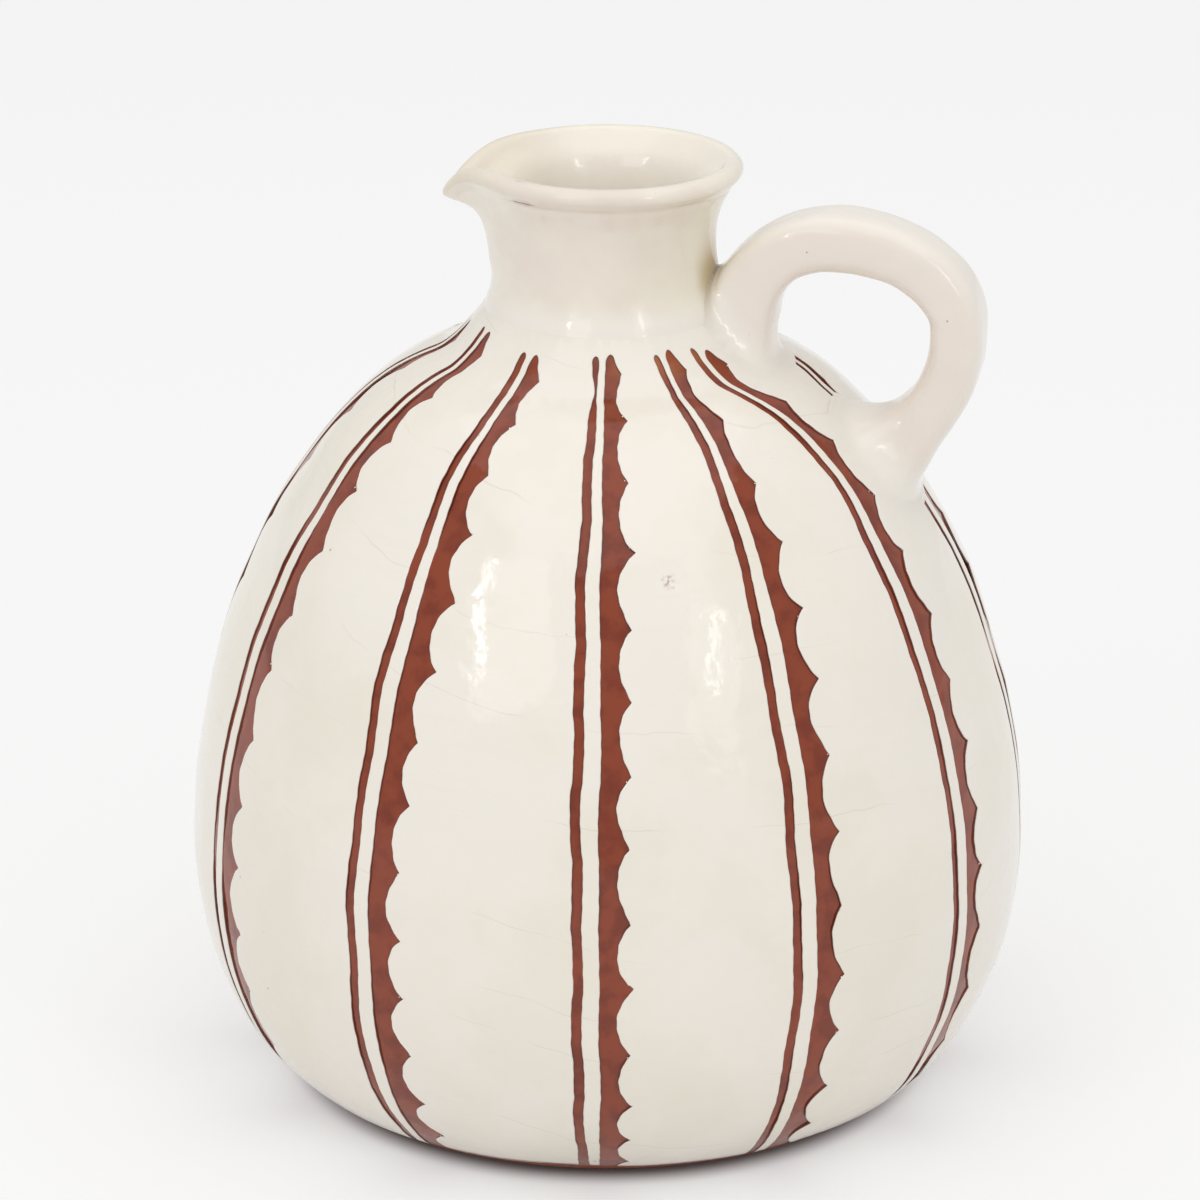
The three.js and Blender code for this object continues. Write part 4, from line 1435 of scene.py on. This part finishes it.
class PITCHER_OT_neck(bpy.types.Operator):
    """Raise the neck, roll its lip and pull its spout"""

    bl_idname = "pitcher.neck"
    bl_label = "Neck"

    def _painted_shade(self, distances, angle, outside_rows, seam, lap):
        """Share of the painted shade outside and inside, partly yellow glaze pooled in the corner by the
        handle.
        """
        to_handle = np.cos(angle)
        shade_share = smooth(to_handle, *CORNER_SHADE_TURN) * hump(distances[:, None], seam + CORNER_SHADE_RISE, CORNER_SHADE_HEIGHT)
        shade_share += HANDLE_SIDE_SHADE * smooth(to_handle, *HANDLE_SIDE) * (1 - lap[:, None])
        shade_share[outside_rows:] = (SPOUT_SIDE_SHADE * smooth(-to_handle, *SPOUT_SIDE))[outside_rows:]
        return shade_share

    def _worn_lip(self, below, over_lip, angle):
        """Share of the wear on the lip."""
        patchy = LIP_RING_COVER + waves_round(angle, LIP_RING_WAVES)
        ring = LIP_RING * patchy * hump(below, LIP_RING_DROP, LIP_RING_WIDTH)
        outer = 1 - smooth(below, *LIP_BLOOM_EDGE)
        roll = 1 - smooth(over_lip, LIP_TOP_ROW, ROLL_STEPS)
        bloom = LIP_BLOOM * np.where(over_lip < 0, outer, roll)
        return np.maximum(np.where(over_lip < 0, ring, 0), bloom)

    def _scratched_lip(self, below, over_lip, angle):
        """Share of the scratch under the lip and of the scuff on top of it."""
        along_lip = angle - SCRATCH_TURN
        scratch = np.exp(-(along_lip / SCRATCH_SPAN) ** 4) * hump(below, SCRATCH_DROP, SCRATCH_WIDTH)
        scuff = hump(along_lip, SCUFF_TURN, SCUFF_SPAN) * hump(over_lip, LIP_TOP_ROW, SCUFF_ROWS)
        return np.maximum(np.where(over_lip < 0, scratch, 0), SCUFF_DEPTH * scuff)

    def execute(self, context):
        sizes = context.scene.pitcher_vessel
        wall, seam = wall_and_seam(context.scene)
        section, outside_rows = neck_section(wall, sizes, seam, context.scene.pitcher_stripes.coat)
        turns = np.arange(NECK_COLUMNS) * math.tau / NECK_COLUMNS
        pull = spout_pull(sizes, turns - math.pi)
        rise = spout_share(sizes, section[:, 1])[:, None]
        heights = np.clip(section[:, 1], 0, sizes.rim_height)
        distances = np.interp(heights, wall.points[:, 1], wall.distances)
        radius = section[:, :1] + rise * pull
        height = section[:, 1:] - rise * sizes.spout_droop * (pull / sizes.spout_pull) ** 2
        angle = np.broadcast_to(turns, radius.shape)
        waves = thrown_height(angle, distances[:, None])
        waves[outside_rows:] *= -INSIDE_WAVES
        radius = radius + waves
        places = turn_about_axis(radius.ravel(), height.ravel(), angle.ravel()).reshape(*radius.shape, 3)
        mesh = grid_mesh("neck", places, ring=True, loop=True)
        turn_outwards(mesh)
        below = (wall.end - distances)[:, None]
        over_lip = np.arange(len(section))[:, None] - outside_rows
        lap = 1 - smooth(distances, seam - MM, seam + LAP_LENGTH)
        lap[outside_rows:] = 0
        # Painted light: the inside of the lip and the neck is lightened by this share.
        inside = smooth(over_lip, *INSIDE_FADE)
        shares = {
            "slip_lap": np.repeat(lap, NECK_COLUMNS),
            "shade_and_pool": self._painted_shade(distances, angle, outside_rows, seam, lap),
            "inside": np.repeat(inside, NECK_COLUMNS),
            "rim_wear": self._worn_lip(below, over_lip, angle),
            "lip_scratch": self._scratched_lip(below, over_lip, angle),
        }
        for name, share in shares.items():
            add_point_values(mesh, name, share.ravel())
        mesh.materials.append(neck_glaze(context.scene.pitcher_colours))
        hand_over(show("neck", mesh), ["neck"])
        return {"FINISHED"}


HANDLE_START = math.radians(80)
HANDLE_START_SWEEP = 11 * MM
HANDLE_END = math.radians(57)
HANDLE_END_SWEEP = 12 * MM
HANDLE_ROOT = 11 * MM
HANDLE_FLARE = 0.32
HANDLE_SPREAD = 0.12
HANDLE_FLARE_LENGTH = 10 * MM
HANDLE_STEP = 0.5 * MM
HANDLE_SIDES = 80
HANDLE_SQUARENESS = 3.5
ELLIPSE_SWEEP = 0.55
ROOT_STEPS = 40
BEND_STEPS = 200


def handle_line(sizes, wall, seam):
    """Middle line of the handle with distances along it, and those of its crest and its elbow."""
    spring = seam - sizes.spring
    start = wall.at(spring)[0]
    end = wall.at(wall.distance_at(start[1] - sizes.root_drop))[0]
    crest = start + (sizes.crest_reach, sizes.crest_rise)
    elbow = np.array((start[0] + sizes.reach, crest[1] - sizes.elbow_drop))
    up = math.pi / 2
    parts = (
        np.linspace(along(start, HANDLE_START, -HANDLE_ROOT), start, ROOT_STEPS)[:-1],
        curve(start, along(start, HANDLE_START, HANDLE_START_SWEEP),
              along(crest, math.pi, ELLIPSE_SWEEP * sizes.crest_reach), crest, BEND_STEPS),
        curve(crest, along(crest, 0, ELLIPSE_SWEEP * (elbow[0] - crest[0])),
              along(elbow, up, ELLIPSE_SWEEP * sizes.elbow_drop), elbow, BEND_STEPS),
        curve(elbow, along(elbow, -up, ELLIPSE_SWEEP * (elbow[1] - end[1])),
              along(end, HANDLE_END, HANDLE_END_SWEEP), end, BEND_STEPS),
        np.linspace(end, along(end, HANDLE_END, -HANDLE_ROOT), ROOT_STEPS),
    )
    line = np.vstack(parts)
    reach = np.concatenate(([0], np.cumsum(np.linalg.norm(np.diff(line, axis=0), axis=1))))
    ends = np.cumsum([len(part) for part in parts])
    return line, reach, reach[ends[1]], reach[ends[2]]


# Waves that pulling leaves on the coil: length along it, lobes round it, height and phase
PULLING_WAVES = (
    (31 * MM, 1, 0.08 * MM, 0.6),
    (22 * MM, 2, 0.07 * MM, 2.4),
    (13 * MM, 3, 0.04 * MM, 4.1),
    (8 * MM, 4, 0.03 * MM, 1.3),
    (47 * MM, 5, 0.05 * MM, 3.0),
)


def pulled_height(distance, turn):
    """Height of the soft finger marks on the coil."""
    return sum(
        height * np.sin(math.tau * distance / wave + lobes * turn + phase)
        for wave, lobes, height, phase in PULLING_WAVES)


def handle_rings(sizes, wall, seam):
    """Rings of the coil, the ways out of it, how far these face into the loop, and shares along it."""
    line, reach, crest, elbow = handle_line(sizes, wall, seam)
    distances = np.linspace(0, reach[-1], round(reach[-1] / HANDLE_STEP))
    middle = np.column_stack([np.interp(distances, reach, axis) for axis in line.T])
    heading = np.gradient(middle, axis=0)
    heading /= np.linalg.norm(heading, axis=1)[:, None]
    to_seat = np.maximum(0, np.minimum(distances, reach[-1] - distances) - HANDLE_ROOT)
    swell = hump(to_seat, 0, HANDLE_FLARE_LENGTH)
    to_elbow = smooth(distances, crest, elbow)
    thickness = sizes.thickness + (sizes.elbow_thickness - sizes.thickness) * to_elbow
    turns = np.arange(HANDLE_SIDES) * math.tau / HANDLE_SIDES
    power = 2 / HANDLE_SQUARENESS
    inward = np.sign(np.cos(turns)) * np.abs(np.cos(turns)) ** power
    sideways = np.sign(np.sin(turns)) * np.abs(np.sin(turns)) ** power
    across = np.column_stack((heading[:, 1], np.zeros(len(heading)), -heading[:, 0]))
    half_thick = (thickness / 2 * (1 + HANDLE_FLARE * swell))[:, None, None]
    half_wide = (sizes.width / 2 * (1 + HANDLE_SPREAD * swell))[:, None, None]
    offset = half_thick * inward[None, :, None] * across[:, None]
    offset = offset + half_wide * sideways[None, :, None] * np.array((0.0, 1.0, 0.0))
    centre = np.column_stack((middle[:, 0], np.zeros(len(middle)), middle[:, 1]))
    away = offset / np.linalg.norm(offset, axis=2)[:, :, None]
    offset = offset + pulled_height(distances[:, None], turns)[:, :, None] * away
    inner_side = np.broadcast_to(np.cos(turns), away.shape[:2])
    return centre[:, None] + offset, away, inner_side, distances / reach[-1]


# Fillets of the upper and the lower root, on the inner and outer side, and how their edges sink in
INNER_FILLETS = (5.5 * MM, 10 * MM)
OUTER_FILLETS = (2.2 * MM, 5 * MM)
INNER_SIDE = (-1, 0.4)
HOLD_FROM = 0.5
ROOT_BURIED = 0.25
ROOT_SINK = 0.14 * MM
ROOT_SINK_EDGE = 0.8 * MM
ROOT_ROUNDS = 4


def fillet_roots(places, away, inner_side, share, wall):
    """Spreads the coil's roots over the wall in round fillets and sinks their edges under it."""
    flat = places.reshape(-1, 3)
    clear = wall.clearance(flat)[0]
    upper = np.repeat(share < 0.5, places.shape[1])
    outer_fillet = np.where(upper, *OUTER_FILLETS)
    inner_fillet = np.where(upper, *INNER_FILLETS)
    fillet = outer_fillet + (inner_fillet - outer_fillet) * smooth(inner_side.ravel(), *INNER_SIDE)
    height = np.clip(clear, 0, fillet)
    spread = fillet - np.sqrt(np.maximum(fillet ** 2 - (fillet - height) ** 2, 0))
    moved = flat + away.reshape(-1, 3) * spread[:, None]
    sunk = ROOT_SINK * (1 - smooth(clear, 0, ROOT_SINK_EDGE))
    wanted = np.where(clear > 0, clear, ROOT_BURIED * clear) - sunk
    hold = 1 - smooth(clear, HOLD_FROM * fillet, fillet)
    for _ in range(ROOT_ROUNDS):
        now, outward, distance = wall.clearance(moved)
        thrown = thrown_height(np.arctan2(moved[:, 1], moved[:, 0]), distance)
        moved = moved + (hold * (wanted + thrown - now))[:, None] * outward
    return moved.reshape(places.shape), clear.reshape(places.shape[:2])


# How far off the wall the roots take its shading and its slip, where painted shade, partly pooled glaze,
# darkens the corner by the neck, and where painted light lightens the coil's top face
SMEAR_EDGE = (0.1 * MM, 1.6 * MM)
ROOT_LAP_EDGE = (0.2 * MM, 9 * MM)
CORNER_END = 0.35
CORNER_SIDE = (-0.2, 0.9)
CORNER_EDGE = (0.5 * MM, 4 * MM)
LIT_TOP_FACE = (0.3, 0.9)


class PITCHER_OT_handle(bpy.types.Operator):
    """Pull the handle and smear its roots on to the neck and the shoulder"""

    bl_idname = "pitcher.handle"
    bl_label = "Handle"

    def _smeared_normals(self, mesh, wall):
        """Outward directions of the coil, which run into the wall's where its roots are smeared out."""
        places = np.empty(3 * len(mesh.vertices))
        mesh.vertices.foreach_get("co", places)
        places = places.reshape(-1, 3)
        own = np.empty(3 * len(mesh.vertices), np.float32)
        mesh.vertex_normals.foreach_get("vector", own)
        clear, _, distance = wall.clearance(places)
        angle = np.arctan2(places[:, 1], places[:, 0])
        clear = clear - thrown_height(angle, distance)
        under = (1 - smooth(clear, *SMEAR_EDGE))[:, None]
        normals = own.reshape(-1, 3) * (1 - under) + thrown_normals(wall, angle, distance)[0] * under
        return normals / np.linalg.norm(normals, axis=1)[:, None]

    def execute(self, context):
        wall, seam = wall_and_seam(context.scene)
        places, away, inner_side, share = handle_rings(context.scene.pitcher_handle, wall, seam)
        places, clear = fillet_roots(places, away, inner_side, share, wall)
        mesh = grid_mesh("handle", places, ring=True, loop=False)
        turn_outwards(mesh, fill=True)
        # Painted shade in the corner by the neck, partly glaze pooled there, and painted light on the
        # top face.
        corner = (share < CORNER_END)[:, None] * smooth(-inner_side, *CORNER_SIDE)
        shares = {
            "slip_lap": 1 - smooth(clear, *ROOT_LAP_EDGE),
            "shade_and_pool": corner * (1 - smooth(clear, *CORNER_EDGE)),
            "lit_top_face": smooth(-inner_side, *LIT_TOP_FACE),
        }
        for name, values in shares.items():
            add_point_values(mesh, name, values.ravel())
        mesh.materials.append(handle_glaze(context.scene.pitcher_colours))
        handle = show("handle", mesh)
        mesh.normals_split_custom_set_from_vertices(self._smeared_normals(mesh, wall).tolist())
        hand_over(handle, ["handle"])
        return {"FINISHED"}


CRUMBS_PER_STRIPE = 5
CRUMB_SIZE = 0.17 * MM
CRUMB_DEPTH = 0.5
CRUMB_OVER_FOOT = 5 * MM
CRUMB_UNDER_TOP = 1 * MM
CRUMB_ALONG_MM = (-1.6, 1.6)
CRUMB_ACROSS_MM = (-0.5, 0.1)


class PITCHER_OT_crumbs(bpy.types.Operator):
    """Scatter the crumbs of slip that the cutting left at the points of the bands"""

    bl_idname = "pitcher.crumbs"
    bl_label = "Slip crumbs"

    def execute(self, context):
        sizes = context.scene.pitcher_stripes
        wall, seam = wall_and_seam(context.scene)
        random = np.random.default_rng(sizes.seed)
        spots = []
        for index in range(STRIPE_COUNT):
            stripe = Stripe(index, wall, sizes, seam)
            low = stripe.bottom + CRUMB_OVER_FOOT
            high = stripe.band_top - CRUMB_UNDER_TOP
            cusps = stripe.cusps[(stripe.cusps > low) & (stripe.cusps < high)]
            for cusp in random.permutation(cusps)[:CRUMBS_PER_STRIPE]:
                height = cusp + random.uniform(*CRUMB_ALONG_MM) * MM
                across = random.uniform(*CRUMB_ACROSS_MM) * MM
                angle = stripe.reach(height)[1] + across / wall.radius(height)
                spots.append((float(angle), float(height)))
        angle, distance = np.array(spots).T
        flat = wall.at(distance, CRUMB_DEPTH * sizes.coat)
        normal = wall.normal(distance)
        mesh = bpy.data.meshes.new("slip_crumbs")
        mesh.from_pydata(turn_about_axis(flat[:, 0], flat[:, 1], angle).tolist(), [], [])
        ways = turn_about_axis(normal[:, 0], normal[:, 1], angle)
        facing = mesh.attributes.new("facing", "FLOAT_VECTOR", "POINT")
        facing.data.foreach_set("vector", ways.ravel().astype(np.float32))
        crumbs = show("slip_crumbs", mesh)
        glaze = slip_glaze(context.scene.pitcher_colours)
        grow(crumbs, build_crumb_tree(), {
            "Crumb size": CRUMB_SIZE, "Seed": sizes.seed, "Glaze": glaze})
        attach(crumbs, BODY)
        return {"FINISHED"}


CAMERA_DISTANCE = 1.0
CAMERA_HEIGHT = 0.4685
CAMERA_TURN = math.radians(12)
CAMERA_PITCH = math.radians(20.08)
CAMERA_LENS = 150.483
CAMERA_SENSOR = 36
CAMERA_SHIFT = -0.0065
LIGHT_TARGET = Vector((0, 0, 0.11))

# Soft lights: name, directions of their top and bottom edges in degrees, distance, width and radiance
SOFTBOXES = (
    ("left_window", (-48.3, 36.5), (-38.5, 24), 1.3, 0.06, 8.0),
    ("left_glow", (-38, 40), (-28, 20), 1.3, 0.5, 1.1),
    ("right_window", (37.6, 36), (32, 20.5), 1.3, 0.1, 3.8),
    ("right_glow", (38.5, 38.5), (29, 13.5), 1.3, 0.32, 0.9),
    ("overhead", (180, 60), (0, 48), 2.4, 2.6, 0.56),
)
AIR_LIGHT = 0.69
WHITE = (1, 1, 1, 1)


def light_place(azimuth, elevation, distance):
    """A place by its direction from the belly: azimuth to the right of the camera, and elevation."""
    turn = math.radians(azimuth) + CAMERA_TURN
    lift = math.radians(elevation)
    way = Vector((math.sin(turn) * math.cos(lift), -math.cos(turn) * math.cos(lift), math.sin(lift)))
    return LIGHT_TARGET + way * distance


def add_softbox(name, top, bottom, distance, width, radiance):
    """A soft light aimed at the belly, from the direction of its top edge to that of its bottom edge."""
    high = light_place(*top, distance)
    low = light_place(*bottom, distance)
    lamp = bpy.data.lights.new(name, "AREA")
    lamp.shape = "RECTANGLE"
    lamp.size = width
    lamp.size_y = (high - low).length
    lamp.energy = radiance * math.pi * lamp.size * lamp.size_y
    piece = bpy.data.objects.new(name, lamp)
    piece.location = (high + low) / 2
    upward = (high - low).normalized()
    away = (piece.location - LIGHT_TARGET).normalized()
    across = upward.cross(away).normalized()
    away = across.cross(upward)
    piece.rotation_euler = Matrix((across, upward, away)).transposed().to_euler()
    bpy.context.scene.collection.objects.link(piece)


FLOOR_HALF = 4.0
PAPER_ROUGHNESS = 0.85
PAPER_GLOSS = 0.1

# Own light of the floor as it is seen, held back just outside the foot, which paints a dark contact
# shadow round it
FLOOR_GLOW = 0.44
GLOW_FROM = 1 * MM
GLOW_TO = 9 * MM


def floor_paper(tints, foot_radius):
    """Pale studio paper that keeps the pitcher's shadow and glows where it is seen, less near the foot,
    which paints a contact shadow round it.
    """
    material, tree, surface, places = new_material("studio_paper")
    surface.inputs["Roughness"].default_value = PAPER_ROUGHNESS
    surface.inputs["Specular IOR Level"].default_value = PAPER_GLOSS
    surface.inputs["Emission Color"].default_value = WHITE
    rays = tree.nodes.new("ShaderNodeLightPath").outputs
    seen = math_node(tree, "MAXIMUM", rays["Is Camera Ray"], rays["Is Glossy Ray"])
    seen = math_node(tree, "MAXIMUM", seen, rays["Is Transmission Ray"])
    tone = blend_colours(tree, seen, rgba(tints.floor), rgba(tints.floor_seen))
    tree.links.new(tone, surface.inputs["Base Color"])
    reach = add_node(tree, "ShaderNodeVectorMath", {0: places}, operation="LENGTH").outputs["Value"]
    # Painted shadow: no glow at the foot, rising to full a few millimetres out.
    glow = remap(tree, reach, foot_radius + GLOW_FROM, foot_radius + GLOW_TO, 0.0, FLOOR_GLOW)
    tree.links.new(math_node(tree, "MULTIPLY", seen, glow), surface.inputs["Emission Strength"])
    return material


class PITCHER_OT_stage(bpy.types.Operator):
    """Set up the floor, the soft light and the camera"""

    bl_idname = "pitcher.stage"
    bl_label = "Stage"

    def _lay_floor(self, scene):
        mesh = bpy.data.meshes.new("studio_floor")
        corners = ((-1, -1), (1, -1), (1, 1), (-1, 1))
        mesh.from_pydata([(x * FLOOR_HALF, y * FLOOR_HALF, 0) for x, y in corners], [], [(0, 1, 2, 3)])
        floor = show("studio_floor", mesh)
        mesh.materials.append(floor_paper(scene.pitcher_colours, scene.pitcher_vessel.foot_radius))

    def _light(self, scene):
        scene.world = scene.world or bpy.data.worlds.new("studio_air")
        scene.world.use_nodes = True
        air = scene.world.node_tree.nodes["Background"]
        air.inputs["Color"].default_value = WHITE
        air.inputs["Strength"].default_value = AIR_LIGHT
        for softbox in SOFTBOXES:
            add_softbox(*softbox)

    def _set_camera(self, scene):
        lens = bpy.data.cameras.new("photo_camera")
        lens.lens = CAMERA_LENS
        lens.sensor_width = CAMERA_SENSOR
        lens.shift_x = CAMERA_SHIFT
        camera = bpy.data.objects.new("photo_camera", lens)
        camera.location = (
            CAMERA_DISTANCE * math.sin(CAMERA_TURN),
            -CAMERA_DISTANCE * math.cos(CAMERA_TURN),
            CAMERA_HEIGHT)
        camera.rotation_euler = (math.pi / 2 - CAMERA_PITCH, 0, CAMERA_TURN)
        scene.collection.objects.link(camera)
        scene.camera = camera

    def execute(self, context):
        context.scene.view_settings.view_transform = "Standard"
        self._lay_floor(context.scene)
        self._light(context.scene)
        self._set_camera(context.scene)
        return {"FINISHED"}


class PITCHER_PT_panel(bpy.types.Panel):
    """Lists the pieces of the pitcher and their sizes."""

    bl_label = "Stoneware pitcher"
    bl_idname = "PITCHER_PT_panel"
    bl_space_type = "VIEW_3D"
    bl_region_type = "UI"
    bl_category = "Pitcher"

    def draw(self, context):
        for operator in OPERATORS:
            self.layout.operator(operator.bl_idname)
        for group in GROUPS:
            settings = getattr(context.scene, group)
            box = self.layout.box()
            for name in settings.__annotations__:
                box.prop(settings, name)


OPERATORS = (
    PITCHER_OT_clay_vessel, PITCHER_OT_slip_coat, PITCHER_OT_crumbs, PITCHER_OT_neck, PITCHER_OT_handle,
    PITCHER_OT_stage,
)
GROUPS = {
    "pitcher_vessel": VesselSizes,
    "pitcher_stripes": StripeSizes,
    "pitcher_handle": HandleSizes,
    "pitcher_colours": GlazeColours,
}


def register():
    """Registers the groups, the operators and the panel."""
    for name, group in GROUPS.items():
        bpy.utils.register_class(group)
        setattr(bpy.types.Scene, name, PointerProperty(type=group))
    for made in (*OPERATORS, PITCHER_PT_panel):
        bpy.utils.register_class(made)


def unregister():
    """Removes what register added."""
    for made in (PITCHER_PT_panel, *reversed(OPERATORS)):
        bpy.utils.unregister_class(made)
    for name, group in GROUPS.items():
        delattr(bpy.types.Scene, name)
        bpy.utils.unregister_class(group)


def main():
    """Makes every piece."""
    register()
    bpy.ops.pitcher.stage()
    bpy.ops.pitcher.clay_vessel()
    bpy.ops.pitcher.slip_coat()
    bpy.ops.pitcher.crumbs()
    bpy.ops.pitcher.neck()
    bpy.ops.pitcher.handle()
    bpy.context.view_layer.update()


if __name__ == "__main__":
    main()
